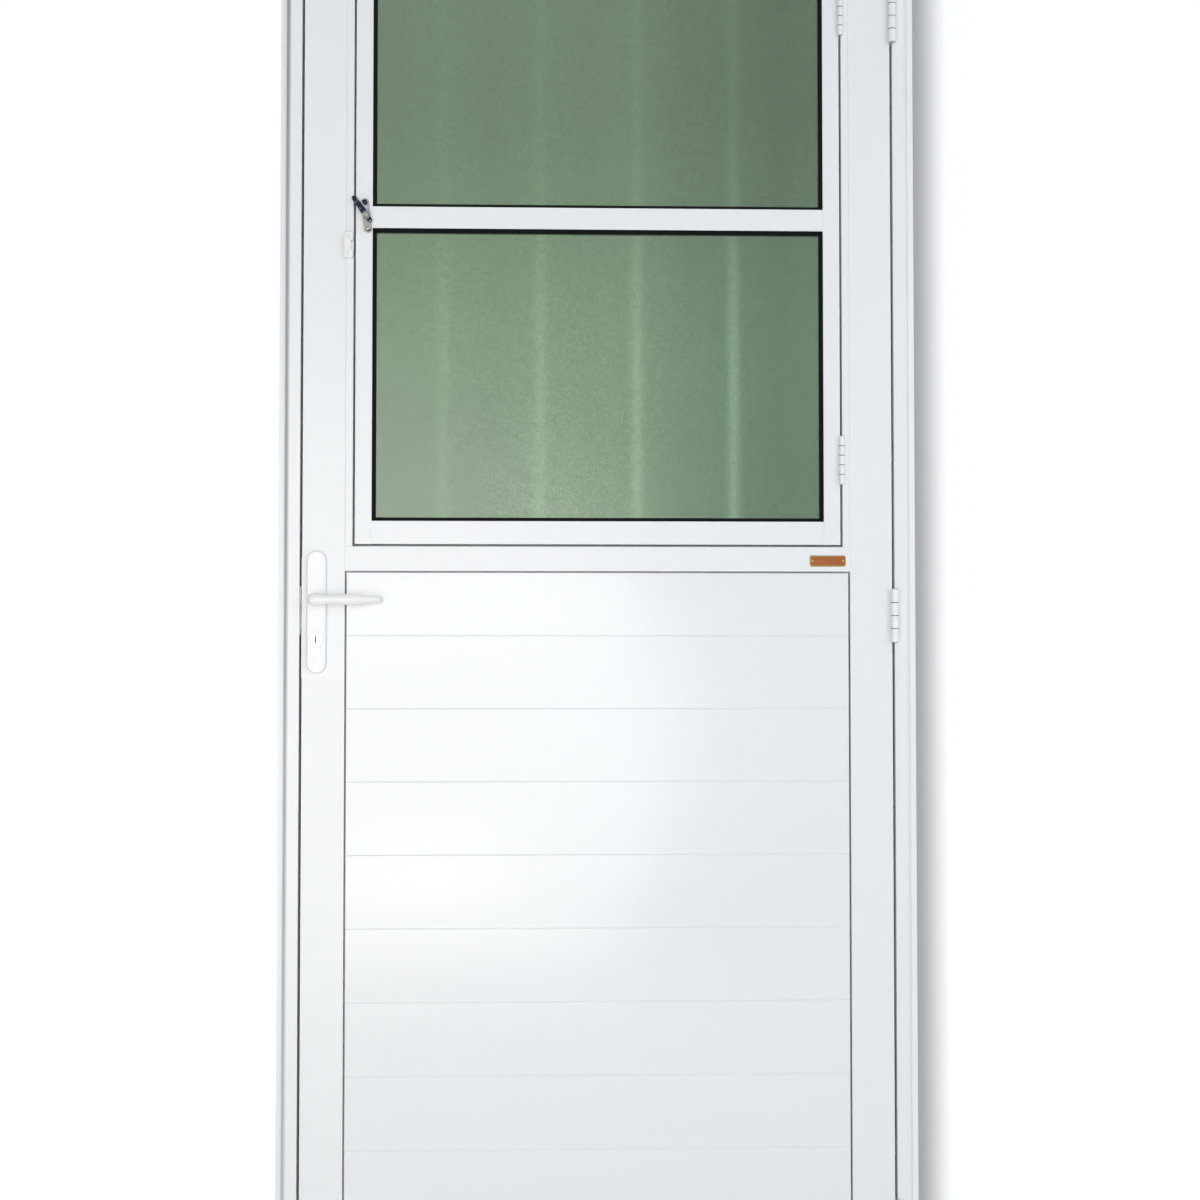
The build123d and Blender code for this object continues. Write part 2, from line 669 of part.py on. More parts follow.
# Door hinges: the frame side carries the first and third knuckles, the leaf side the others
door_hinge_sizes = (
    DOOR_KNUCKLE_RADIUS,
    DOOR_PIN_RADIUS,
    DOOR_HINGE_STANDOFF,
    DOOR_HINGE_STANDOFF + DOOR_HINGE_PLATE_REACH,
)
door_sides = {
    "frame": (0, jamb_inner - DOOR_HINGE_PLATE, jamb_inner - DOOR_HINGE_PLATE, -1),
    "leaf": (1, leaf_edge, leaf_edge + DOOR_HINGE_PLATE, 1),
}
for level, centre in door_hinges.items():
    for name, (first, plate_low, screw_face, outward) in door_sides.items():
        with BuildPart() as hinge:
            plate = (plate_low - door_hinge_x, plate_low + DOOR_HINGE_PLATE - door_hinge_x)
            side = hinge_side(door_hinge_sizes, DOOR_HINGE_HEIGHT, DOOR_HINGE_KNUCKLES, first, plate)
            add(placed(side, door_hinge_x, door_hinge_y, centre, (0, 0, 1)))
            for height in (centre - hinge_screw_rise, centre + hinge_screw_rise):
                add(
                    placed(countersunk_room, screw_face, hinge_screw_y, height, (outward, 0, 0)),
                    mode=Mode.SUBTRACT,
                )
        hinge.part.label = f"door_hinge_{name}_{level}"
        export_step(hinge.part, f"parts/door_hinge_{name}_{level}.step")

with BuildPart() as door_hinge_pins:
    pin = hinge_pin(DOOR_PIN_RADIUS, DOOR_PIN_HEAD_RADIUS, DOOR_HINGE_HEIGHT, DOOR_PIN_HEAD_HEIGHT)
    for centre in door_hinges.values():
        add(placed(pin, door_hinge_x, door_hinge_y, centre, (0, 0, 1)))
door_hinge_pins.part.label = "door_hinge_pins"
export_step(door_hinge_pins.part, "parts/door_hinge_pins.step")

def stile():
    """The right stile: a tube with a fin behind the boards, drilled for their screws."""
    with BuildPart() as post:
        with BuildSketch(Plane.XY.offset(leaf_bottom)):
            add(box_section(stile_inner, leaf_edge, frame_front, leaf_back, LEAF_WALL))
        extrude(amount=leaf_top - leaf_bottom)
        with BuildSketch(Plane.XY.offset(bottom_rail_top)):
            with Locations(((fin_inner + stile_inner) / 2, (board_back + fin_back) / 2)):
                Rectangle(FIN_REACH, FIN_THICKNESS)
        extrude(amount=middle_rail_bottom - bottom_rail_top)
        with BuildSketch(Plane.XZ.offset(-board_back)):
            with Locations(*[(board_screw_x, height) for height in board_screw_heights]):
                Circle(PAN_SHANK_RADIUS + SCREW_CLEARANCE)
        extrude(amount=-FIN_THICKNESS, mode=Mode.SUBTRACT)
    return post.part


# Leaf: the hinge stile has the screw holes of the hinges
with BuildPart() as stile_right:
    add(stile())
    for height in hinge_screw_heights:
        add(
            placed(countersunk_room, leaf_edge + DOOR_HINGE_PLATE, hinge_screw_y, height, (1, 0, 0)),
            mode=Mode.SUBTRACT,
        )
stile_right.part.label = "stile_right"
export_step(stile_right.part, "parts/stile_right.step")

# Leaf: the lock stile is cut for the lock case, the spindle, the cylinder and the bolts
case_height = case_top - case_bottom
case_middle = (case_top + case_bottom) / 2
with BuildPart() as stile_left:
    mirror(stile(), about=Plane.YZ)
    with BuildSketch(Plane.YZ.offset(-leaf_edge)):
        with Locations((leaf_middle, case_middle)):
            Rectangle(CASE_THICKNESS + 2 * JOINT_CLEARANCE, case_height + 2 * JOINT_CLEARANCE)
    extrude(amount=LEAF_WALL, mode=Mode.SUBTRACT)
    with BuildSketch(Plane.XZ.offset(-leaf_back)):
        with Locations((spindle_x, SPINDLE_HEIGHT)):
            Circle(LEVER_NECK_RADIUS)
        with Locations((spindle_x, cylinder_height)):
            add(euro_section(2 * CYLINDER_FIT))
        with Locations(*[(spindle_x, height) for height in bolt_heights]):
            Circle(BOLT_RADIUS + CYLINDER_FIT)
    extrude(amount=LEAF_DEPTH, mode=Mode.SUBTRACT)
    for height in lock_screw_heights:
        add(
            placed(countersunk_room, faceplate_x, leaf_middle, height, (-1, 0, 0)),
            mode=Mode.SUBTRACT,
        )
stile_left.part.label = "stile_left"
export_step(stile_left.part, "parts/stile_left.step")

# Leaf: rails between the stiles, with fins and lips where the panel and the sash close
with BuildPart() as rail_top:
    with BuildSketch(Plane.YZ.offset(-stile_inner)):
        add(box_section(frame_front, leaf_back, opening_top, leaf_top, LEAF_WALL))
    extrude(amount=2 * stile_inner)
    with BuildSketch(Plane.YZ.offset(-lip_inner + JOINT_CLEARANCE)):
        with Locations(((lip_front + lip_back) / 2, opening_top - STOP_LIP_REACH / 2)):
            Rectangle(FIN_THICKNESS, STOP_LIP_REACH)
    extrude(amount=2 * (lip_inner - JOINT_CLEARANCE))
rail_top.part.label = "rail_top"
export_step(rail_top.part, "parts/rail_top.step")

with BuildPart() as rail_middle:
    with BuildSketch(Plane.YZ.offset(-stile_inner)):
        add(box_section(frame_front, leaf_back, middle_rail_bottom, MIDDLE_RAIL_TOP, LEAF_WALL))
    extrude(amount=2 * stile_inner)
    with BuildSketch(Plane.YZ.offset(-lip_inner + JOINT_CLEARANCE)):
        with Locations(((lip_front + lip_back) / 2, MIDDLE_RAIL_TOP + STOP_LIP_REACH / 2)):
            Rectangle(FIN_THICKNESS, STOP_LIP_REACH)
    extrude(amount=2 * (lip_inner - JOINT_CLEARANCE))
    with BuildSketch(Plane.YZ.offset(-fin_inner + JOINT_CLEARANCE)):
        with Locations(((board_back + fin_back) / 2, middle_rail_bottom - FIN_REACH / 2)):
            Rectangle(FIN_THICKNESS, FIN_REACH)
    extrude(amount=2 * (fin_inner - JOINT_CLEARANCE))
rail_middle.part.label = "rail_middle"
export_step(rail_middle.part, "parts/rail_middle.step")

with BuildPart() as rail_bottom:
    with BuildSketch(Plane.YZ.offset(-stile_inner)):
        add(box_section(frame_front, leaf_back, leaf_bottom, bottom_rail_top, LEAF_WALL))
    extrude(amount=2 * stile_inner)
    with BuildSketch(Plane.YZ.offset(-fin_inner + JOINT_CLEARANCE)):
        with Locations(((board_back + fin_back) / 2, bottom_rail_top + FIN_REACH / 2)):
            Rectangle(FIN_THICKNESS, FIN_REACH)
    extrude(amount=2 * (fin_inner - JOINT_CLEARANCE))
rail_bottom.part.label = "rail_bottom"
export_step(rail_bottom.part, "parts/rail_bottom.step")

# Leaf: tongue-and-groove boards laid from the bottom up, the last one cut to height
for row in range(board_count):
    bottom = boards_bottom + row * BOARD_PITCH
    last = row == board_count - 1
    with BuildPart() as board:
        with BuildSketch(Plane.YZ.offset(-board_edge)):
            with Locations((0, bottom)):
                add(board_section(tongue=not last))
        extrude(amount=2 * board_edge)
        if last:
            split(bisect_by=Plane.XY.offset(boards_top), keep=Keep.BOTTOM)
        else:
            with BuildSketch(Plane.XZ.offset(-board_back)):
                for side in (-1, 1):
                    with Locations((side * board_screw_x, board_screw_heights[row])):
                        Circle(PAN_SHANK_RADIUS + SCREW_CLEARANCE)
            extrude(amount=2 * BOARD_WALL, mode=Mode.SUBTRACT)
    board.part.label = f"board_{row + 1:02d}"
    export_step(board.part, f"parts/board_{row + 1:02d}.step")

# Leaf: lining strips at the sides of the upper opening, with a lip behind the sash
for name, side in (("left", -1), ("right", 1)):
    with BuildPart() as lining:
        with BuildSketch(Plane.XY.offset(MIDDLE_RAIL_TOP)):
            add(box_section(lining_inner, stile_inner, frame_front, leaf_back, LINING_WALL))
            with Locations(((lip_inner + lining_inner) / 2, (lip_front + lip_back) / 2)):
                Rectangle(STOP_LIP_REACH, FIN_THICKNESS)
            if side < 0:
                mirror(about=Plane.YZ, mode=Mode.REPLACE)
        extrude(amount=opening_top - MIDDLE_RAIL_TOP)
        if side < 0:
            for height in keeper_screw_heights:
                add(
                    placed(countersunk_room, keeper_screw_x, keeper_front, height, (0, -1, 0)),
                    mode=Mode.SUBTRACT,
                )
    lining.part.label = f"lining_{name}"
    export_step(lining.part, f"parts/lining_{name}.step")

# Lock: case and faceplate in one, open for both bolts, the follower and the cylinder
cavity_depth = CASE_THICKNESS - 2 * CASE_WALL
with BuildPart() as lock_case:
    with BuildSketch(Plane.YZ.offset(faceplate_x)):
        with Locations((leaf_middle, case_middle)):
            RectangleRounded(FACEPLATE_WIDTH, case_height + 2 * FACEPLATE_END, FACEPLATE_CORNER)
    extrude(amount=FACEPLATE_THICKNESS)
    with BuildSketch(Plane.YZ.offset(-leaf_edge)):
        with Locations((leaf_middle, case_middle)):
            Rectangle(CASE_THICKNESS, case_height)
    extrude(amount=leaf_edge + case_inner_x)
    with BuildSketch(Plane.YZ.offset(-leaf_edge + CASE_WALL)):
        with Locations((leaf_middle, case_middle)):
            Rectangle(cavity_depth, case_height - 2 * CASE_WALL)
    extrude(amount=leaf_edge + case_inner_x - 2 * CASE_WALL, mode=Mode.SUBTRACT)
    with BuildSketch(Plane.YZ.offset(faceplate_x)):
        add(bolt_windows(BOLT_SLIDE_CLEARANCE))
    extrude(amount=FACEPLATE_THICKNESS + 2 * CASE_WALL, mode=Mode.SUBTRACT)
    with BuildSketch(Plane.XZ.offset(-case_front - CASE_THICKNESS)):
        with Locations((spindle_x, SPINDLE_HEIGHT)):
            Circle(TRUNNION_RADIUS + BOLT_SLIDE_CLEARANCE)
        with Locations((spindle_x, cylinder_height)):
            add(euro_section(CYLINDER_FIT))
    extrude(amount=CASE_THICKNESS, mode=Mode.SUBTRACT)
    for height in lock_screw_heights:
        add(
            placed(countersunk_room, faceplate_x, leaf_middle, height, (-1, 0, 0)),
            mode=Mode.SUBTRACT,
        )
lock_case.part.label = "lock_case"
export_step(lock_case.part, "parts/lock_case.step")

# Lock: cylinder with a bore for the plug and a slot for the cam
with BuildPart() as lock_cylinder:
    with BuildSketch(Plane.XZ.offset(-cylinder_back)):
        with Locations((spindle_x, cylinder_height)):
            add(euro_section(0.0))
            Circle(PLUG_RADIUS + PIN_CLEARANCE, mode=Mode.SUBTRACT)
    extrude(amount=cylinder_back - cylinder_front)
    slot_low = cylinder_height - CAM_RADIUS - CAM_CLEARANCE
    with BuildSketch(Plane.XZ.offset(-leaf_middle - CAM_THICKNESS / 2 - JOINT_CLEARANCE)):
        with Locations((spindle_x, (slot_low + cylinder_height + CYLINDER_TALL) / 2)):
            Rectangle(CYLINDER_TALL, cylinder_height + CYLINDER_TALL - slot_low)
    extrude(amount=CAM_THICKNESS + 2 * JOINT_CLEARANCE, mode=Mode.SUBTRACT)
lock_cylinder.part.label = "lock_cylinder"
export_step(lock_cylinder.part, "parts/lock_cylinder.step")

# Lock: plug right through the cylinder, with the cam in the middle and a keyway at each end
with BuildPart() as cylinder_plug:
    with BuildSketch(Plane.XZ.offset(-cylinder_back)):
        with Locations((spindle_x, cylinder_height)):
            Circle(PLUG_RADIUS)
    extrude(amount=cylinder_back - cylinder_front)
    with BuildSketch(Plane.XZ.offset(-leaf_middle - CAM_THICKNESS / 2)):
        with Locations((spindle_x, cylinder_height)):
            Circle(CYLINDER_RADIUS)
        with Locations((spindle_x, cylinder_height - (CAM_RADIUS - CAM_WIDTH / 2) / 2)):
            Rectangle(CAM_WIDTH, CAM_RADIUS - CAM_WIDTH / 2)
        with Locations((spindle_x, cylinder_height - CAM_RADIUS + CAM_WIDTH / 2)):
            Circle(CAM_WIDTH / 2)
    extrude(amount=CAM_THICKNESS)
    for end, inward in ((cylinder_front, -1), (cylinder_back, 1)):
        with BuildSketch(Plane.XZ.offset(-end)):
            with Locations((spindle_x, cylinder_height - KEYWAY_DROP)):
                Rectangle(KEYWAY_WIDTH, KEYWAY_HEIGHT)
        extrude(amount=inward * KEYWAY_DEPTH, mode=Mode.SUBTRACT)
cylinder_plug.part.label = "cylinder_plug"
export_step(cylinder_plug.part, "parts/cylinder_plug.step")

# Lock: latch bolt, bevelled on the side that meets the jamb, with a fork round the follower
with BuildPart() as latch_bolt:
    with BuildSketch(Plane.XY.offset(SPINDLE_HEIGHT - LATCH_HEIGHT / 2)):
        with BuildLine():
            Polyline(
                (bolt_tip_x, leaf_middle - BOLT_THICKNESS / 2),
                (bolt_tip_x + LATCH_LENGTH, leaf_middle - BOLT_THICKNESS / 2),
                (bolt_tip_x + LATCH_LENGTH, leaf_middle + BOLT_THICKNESS / 2),
                (bolt_tip_x + LATCH_BEVEL_LENGTH, leaf_middle + BOLT_THICKNESS / 2),
                (bolt_tip_x, leaf_middle - BOLT_THICKNESS / 2 + LATCH_NOSE),
                close=True,
            )
        make_face()
    extrude(amount=LATCH_HEIGHT)
    fork_end = spindle_x + LATCH_TRAVEL + FORK_OVERLAP
    with BuildSketch(Plane.XZ.offset(BOLT_THICKNESS / 2 - leaf_middle)):
        with Locations(((bolt_tip_x + LATCH_LENGTH + fork_end) / 2, SPINDLE_HEIGHT)):
            Rectangle(fork_end - bolt_tip_x - LATCH_LENGTH, LATCH_HEIGHT)
        with Locations(((spindle_x + fork_end) / 2, SPINDLE_HEIGHT)):
            Rectangle(
                fork_end - spindle_x,
                2 * (TRUNNION_RADIUS + FOLLOWER_CLEARANCE),
                mode=Mode.SUBTRACT,
            )
        with Locations((spindle_x, SPINDLE_HEIGHT)):
            Circle(TRUNNION_RADIUS + FOLLOWER_CLEARANCE, mode=Mode.SUBTRACT)
    extrude(amount=-CASE_WALL)
latch_bolt.part.label = "latch_bolt"
export_step(latch_bolt.part, "parts/latch_bolt.step")

with BuildPart() as deadbolt:
    with BuildSketch(Plane.YZ.offset(bolt_tip_x)):
        with Locations((leaf_middle, deadbolt_height)):
            RectangleRounded(BOLT_THICKNESS, DEADBOLT_HEIGHT, EDGE_ROUND)
    extrude(amount=DEADBOLT_LENGTH)
deadbolt.part.label = "deadbolt"
export_step(deadbolt.part, "parts/deadbolt.step")

# Furniture: square spindle with the lock's follower
lever_socket = LEVER_STANDOFF - LEVER_NECK_THICKNESS
spindle_front = plate_front - lever_socket
spindle_back = plate_back + lever_socket
with BuildPart() as spindle:
    with BuildSketch(Plane.XZ.offset(-spindle_back)):
        with Locations((spindle_x, SPINDLE_HEIGHT)):
            Rectangle(SPINDLE_SIZE, SPINDLE_SIZE)
    extrude(amount=spindle_back - spindle_front)
    with BuildSketch(Plane.XZ.offset(-case_front - CASE_THICKNESS)):
        with Locations((spindle_x, SPINDLE_HEIGHT)):
            Circle(TRUNNION_RADIUS)
    extrude(amount=CASE_THICKNESS)
    follower_front = leaf_middle - BOLT_THICKNESS / 2 + CASE_WALL + FOLLOWER_CLEARANCE
    follower_back = leaf_middle + cavity_depth / 2 - FOLLOWER_CLEARANCE
    with BuildSketch(Plane.XZ.offset(-follower_back)):
        with Locations((spindle_x, SPINDLE_HEIGHT)):
            Circle(FOLLOWER_RADIUS)
    extrude(amount=follower_back - follower_front)
spindle.part.label = "spindle"
export_step(spindle.part, "parts/spindle.step")


def lever(outward):
    """A lever handle about its spindle: round neck, tapering arm and a tip curved to the door.

    Its neck starts on XZ at the long plate's face and grows to the outward side. Each row of
    sections gives the distance along the arm, its swell, its bend to the door and its taper.
    """
    arm = outward * (LEVER_STANDOFF - LEVER_NECK_THICKNESS / 2)
    sections = (
        (-LEVER_NECK_HEIGHT / 2, 0.30, 0.0, 0.0),
        (-LEVER_NECK_HEIGHT / 2 + LEVER_HEEL_ROUND, 0.75, 0.0, 0.0),
        (0.0, 1.0, 0.0, 0.05),
        (LEVER_LENGTH * 0.40, 0.93, 0.0, 0.45),
        (LEVER_LENGTH * 0.72, 0.86, 0.12, 0.75),
        (LEVER_LENGTH * 0.92, 0.80, 0.62, 0.95),
        (LEVER_LENGTH * 0.985, 0.62, 0.90, 1.0),
        (LEVER_LENGTH, 0.30, 1.0, 1.0),
    )
    with BuildPart() as handle:
        with BuildSketch(Plane.XZ):
            Circle(LEVER_NECK_RADIUS)
        extrude(amount=-arm)
        for along, swell, bend, taper in sections:
            tall = LEVER_NECK_HEIGHT + (LEVER_TIP_HEIGHT - LEVER_NECK_HEIGHT) * taper
            thick = LEVER_NECK_THICKNESS + (LEVER_TIP_THICKNESS - LEVER_NECK_THICKNESS) * taper
            out = arm - outward * bend * LEVER_TIP_RETURN
            with BuildSketch(Plane(origin=(along, out, 0), x_dir=(0, 1, 0), z_dir=(1, 0, 0))):
                Ellipse(thick * swell / 2, tall * swell / 2)
        loft()
        with BuildSketch(Plane.XZ):
            socket = SPINDLE_SIZE + 2 * SPINDLE_CLEARANCE
            Rectangle(socket, socket)
        extrude(amount=-outward * lever_socket, mode=Mode.SUBTRACT)
    return handle.part


with BuildPart() as lever_outside:
    add(placed(lever(-1), spindle_x, plate_front - LEVER_GAP, SPINDLE_HEIGHT, (0, 0, 1)))
lever_outside.part.label = "lever_outside"
export_step(lever_outside.part, "parts/lever_outside.step")

with BuildPart() as lever_inside:
    add(placed(lever(1), spindle_x, plate_back + LEVER_GAP, SPINDLE_HEIGHT, (0, 0, 1)))
lever_inside.part.label = "lever_inside"
export_step(lever_inside.part, "parts/lever_inside.step")

# Furniture: long plates with rounded ends, and the bolts through the door that hold both
for name, seat, outward in (("outside", frame_front, 1), ("inside", leaf_back, -1)):
    with BuildPart() as long_plate:
        with BuildSketch(Plane.XZ.offset(-seat)):
            with Locations((spindle_x, plate_centre)):
                SlotOverall(LONG_PLATE_LENGTH, LONG_PLATE_WIDTH, rotation=90)
        extrude(amount=outward * LONG_PLATE_THICKNESS)
        outer_face = long_plate.faces().sort_by(Axis.Y if outward > 0 else -Axis.Y)[0]
        fillet(outer_face.edges(), LONG_PLATE_ROUND)
        with BuildSketch(Plane.XZ.offset(-seat)):
            with Locations((spindle_x, SPINDLE_HEIGHT)):
                Circle(TRUNNION_RADIUS + CYLINDER_FIT)
            with Locations((spindle_x, cylinder_height)):
                add(euro_section(CYLINDER_FIT))
            with Locations(*[(spindle_x, height) for height in bolt_heights]):
                Circle(BOLT_RADIUS + CYLINDER_FIT)
        extrude(amount=outward * LONG_PLATE_THICKNESS, mode=Mode.SUBTRACT)
        with BuildSketch(Plane.XZ.offset(outward * LONG_PLATE_THICKNESS - seat)):
            with Locations(*[(spindle_x, height) for height in bolt_heights]):
                Circle(BOLT_HEAD_RADIUS + CYLINDER_FIT)
        extrude(amount=-outward * BOLT_HEAD_HEIGHT, mode=Mode.SUBTRACT)
    long_plate.part.label = f"plate_{name}"
    export_step(long_plate.part, f"parts/plate_{name}.step")

with BuildPart() as plate_screws:
    places = [(spindle_x, height) for height in bolt_heights]
    for seat, length, radius in (
        (plate_back, plate_back - plate_front, BOLT_RADIUS),
        (plate_back, BOLT_HEAD_HEIGHT - JOINT_CLEARANCE, BOLT_HEAD_RADIUS),
        (plate_front + BOLT_HEAD_HEIGHT - JOINT_CLEARANCE, BOLT_HEAD_HEIGHT, BOLT_HEAD_RADIUS),
    ):
        with BuildSketch(Plane.XZ.offset(-seat)):
            with Locations(*places):
                Circle(radius)
        extrude(amount=length)
plate_screws.part.label = "plate_screws"
export_step(plate_screws.part, "parts/plate_screws.step")

# Leaf: screws of the hinges, the faceplate, the keeper and, from behind, the boards
with BuildPart() as leaf_screws:
    for height in hinge_screw_heights:
        add(placed(countersunk, leaf_edge + DOOR_HINGE_PLATE, hinge_screw_y, height, (1, 0, 0)))
    for height in lock_screw_heights:
        add(placed(countersunk, faceplate_x, leaf_middle, height, (-1, 0, 0)))
    for height in keeper_screw_heights:
        add(placed(countersunk, keeper_screw_x, keeper_front, height, (0, -1, 0)))
    for height in board_screw_heights:
        for side in (-1, 1):
            add(placed(pan_head, side * board_screw_x, fin_back, height, (0, 1, 0)))
leaf_screws.part.label = "leaf_screws"
export_step(leaf_screws.part, "parts/leaf_screws.step")

# Leaf: keeper beside the sash, with a slot behind its skin where the fastener's tongue sweeps
tongue_sweep = FASTENER_TONGUE_LENGTH + FASTENER_TONGUE_TIP + KEEPER_SLOT_MARGIN
slot_depth = FASTENER_LEVER_THICKNESS + 2 * KEEPER_SLOT_CLEARANCE
with BuildPart() as keeper:
    with BuildSketch(Plane.XZ.offset(-frame_front)):
        with Locations((keeper_x, keeper_z)):
            RectangleRounded(KEEPER_WIDTH, KEEPER_HEIGHT, KEEPER_CORNER)
        with Locations((keeper_x + KEEPER_WIDTH / 2, keeper_z)):
            Rectangle(2 * KEEPER_NOTCH, KEEPER_HEIGHT / 3, mode=Mode.SUBTRACT)
    extrude(amount=frame_front - keeper_front)
    fillet(keeper.faces().sort_by(Axis.Y)[0].edges(), EDGE_ROUND)
    with BuildSketch(Plane.XZ.offset(KEEPER_SLOT_CLEARANCE - tongue_front)):
        with Locations((pivot_x, pivot_z)):
            Circle(tongue_sweep)
    extrude(amount=-slot_depth, mode=Mode.SUBTRACT)
    for height in keeper_screw_heights:
        add(
            placed(countersunk_room, keeper_screw_x, keeper_front, height, (0, -1, 0)),
            mode=Mode.SUBTRACT,
        )
keeper.part.label = "keeper"
export_step(keeper.part, "parts/keeper.step")

# Sash: stiles at full height, rails and glazing bar between them
with BuildPart() as sash_stile_left:
    with BuildSketch(Plane(origin=(-sash_edge, 0, sash_bottom), x_dir=(1, 0, 0), z_dir=(0, 0, 1))):
        add(sash_section(SASH_STILE_WIDTH, double=False))
    extrude(amount=sash_top - sash_bottom)
sash_stile_left.part.label = "sash_stile_left"
export_step(sash_stile_left.part, "parts/sash_stile_left.step")

with BuildPart() as sash_stile_right:
    with BuildSketch(Plane(origin=(sash_edge, 0, sash_top), x_dir=(-1, 0, 0), z_dir=(0, 0, -1))):
        add(sash_section(SASH_STILE_WIDTH, double=False))
    extrude(amount=sash_top - sash_bottom)
sash_stile_right.part.label = "sash_stile_right"
export_step(sash_stile_right.part, "parts/sash_stile_right.step")

with BuildPart() as sash_rail_bottom:
    with BuildSketch(Plane(origin=(sash_inner, 0, sash_bottom), x_dir=(0, 0, 1), z_dir=(-1, 0, 0))):
        add(sash_section(SASH_RAIL_HEIGHT, double=False))
    extrude(amount=2 * sash_inner)
sash_rail_bottom.part.label = "sash_rail_bottom"
export_step(sash_rail_bottom.part, "parts/sash_rail_bottom.step")

with BuildPart() as sash_rail_top:
    with BuildSketch(Plane(origin=(-sash_inner, 0, sash_top), x_dir=(0, 0, -1), z_dir=(1, 0, 0))):
        add(sash_section(SASH_RAIL_HEIGHT, double=False))
    extrude(amount=2 * sash_inner)
sash_rail_top.part.label = "sash_rail_top"
export_step(sash_rail_top.part, "parts/sash_rail_top.step")

with BuildPart() as glazing_bar:
    with BuildSketch(Plane(origin=(sash_inner, 0, bar_bottom), x_dir=(0, 0, 1), z_dir=(-1, 0, 0))):
        add(sash_section(GLAZING_BAR_HEIGHT, double=True))
    extrude(amount=2 * sash_inner)
glazing_bar.part.label = "glazing_bar"
export_step(glazing_bar.part, "parts/glazing_bar.step")

# Sash: two panes, each in a rubber channel that fills the pockets of the extrusions round it
glass_front = frame_front + GLASS_SETBACK
for name, (low, high) in panes.items():
    middle = (low + high) / 2
    tall = high - low
    with BuildPart() as glass:
        with BuildSketch(Plane.XZ.offset(-glass_front - GLASS_THICKNESS)):
            with Locations((0, middle)):
                Rectangle(2 * (sash_inner + GLASS_BITE), tall + 2 * GLASS_BITE)
        extrude(amount=GLASS_THICKNESS)
    glass.part.label = f"glass_{name}"
    export_step(glass.part, f"parts/glass_{name}.step")

    seat = POCKET_DEPTH - GASKET_FIT
    with BuildPart() as gasket:
        with BuildSketch(Plane.XZ.offset(GASKET_FIT - pocket_back)):
            with Locations((0, middle)):
                Rectangle(2 * (sash_inner + seat), tall + 2 * seat)
                Rectangle(
                    2 * (sash_inner - GASKET_SIGHT), tall - 2 * GASKET_SIGHT, mode=Mode.SUBTRACT
                )
        extrude(amount=POCKET_WIDTH - 2 * GASKET_FIT)
        chamfer(gasket.faces().sort_by(Axis.Y)[0].inner_wires()[0].edges(), GASKET_SLOPE)
        with BuildSketch(Plane.XZ.offset(-glass_front - GLASS_THICKNESS)):
            with Locations((0, middle)):
                Rectangle(
                    2 * (sash_inner + GLASS_BITE + GLASS_FIT), tall + 2 * (GLASS_BITE + GLASS_FIT)
                )
        extrude(amount=GLASS_THICKNESS, mode=Mode.SUBTRACT)
    gasket.part.label = f"gasket_{name}"
    export_step(gasket.part, f"parts/gasket_{name}.step")

# Sash hinges: the leaf side carries three knuckles, the sash side the two between them
sash_hinge_sizes = (
    SASH_KNUCKLE_RADIUS,
    SASH_PIN_RADIUS,
    SASH_HINGE_STANDOFF,
    SASH_HINGE_STANDOFF + SASH_HINGE_PLATE_REACH,
)
sash_sides = {
    "leaf": (0, (lining_inner - SASH_HINGE_PLATE - sash_hinge_x, lining_inner - sash_hinge_x)),
    "sash": (1, (sash_edge - sash_hinge_x, sash_edge + SASH_HINGE_PLATE - sash_hinge_x)),
}
for level, centre in sash_hinges.items():
    for name, (first, plate) in sash_sides.items():
        with BuildPart() as hinge:
            side = hinge_side(
                sash_hinge_sizes, SASH_HINGE_HEIGHT, SASH_HINGE_KNUCKLES, first, plate
            )
            add(placed(side, sash_hinge_x, sash_hinge_y, centre, (0, 0, 1)))
        hinge.part.label = f"sash_hinge_{name}_{level}"
        export_step(hinge.part, f"parts/sash_hinge_{name}_{level}.step")

with BuildPart() as sash_hinge_pins:
    pin = hinge_pin(SASH_PIN_RADIUS, SASH_PIN_HEAD_RADIUS, SASH_HINGE_HEIGHT, SASH_PIN_HEAD_HEIGHT)
    for centre in sash_hinges.values():
        add(placed(pin, sash_hinge_x, sash_hinge_y, centre, (0, 0, 1)))
sash_hinge_pins.part.label = "sash_hinge_pins"
export_step(sash_hinge_pins.part, "parts/sash_hinge_pins.step")

# Fastener: base with a riveted stud, on the free stile of the sash
stud_height = FASTENER_LEVER_THICKNESS + 2 * JOINT_CLEARANCE
with BuildPart() as fastener_base:
    with BuildSketch(Plane.XZ.offset(-frame_front)):
        with Locations((pivot_x, pivot_z)):
            SlotOverall(
                FASTENER_BASE_LENGTH, FASTENER_BASE_WIDTH, rotation=90 + FASTENER_BASE_TILT
            )
    extrude(amount=FASTENER_BASE_THICKNESS)
    fillet(fastener_base.faces().sort_by(Axis.Y)[0].edges(), EDGE_ROUND)
    with BuildSketch(Plane.XZ.offset(-fastener_front)):
        with Locations((pivot_x, pivot_z)):
            Circle(FASTENER_STUD_RADIUS)
    extrude(amount=stud_height)
    with BuildSketch(Plane.XZ.offset(stud_height - fastener_front)):
        with Locations((pivot_x, pivot_z)):
            Circle(FASTENER_STUD_HEAD_RADIUS)
    extrude(amount=FASTENER_STUD_HEAD_HEIGHT, taper=FASTENER_STUD_TAPER)
fastener_base.part.label = "fastener_base"
export_step(fastener_base.part, "parts/fastener_base.step")

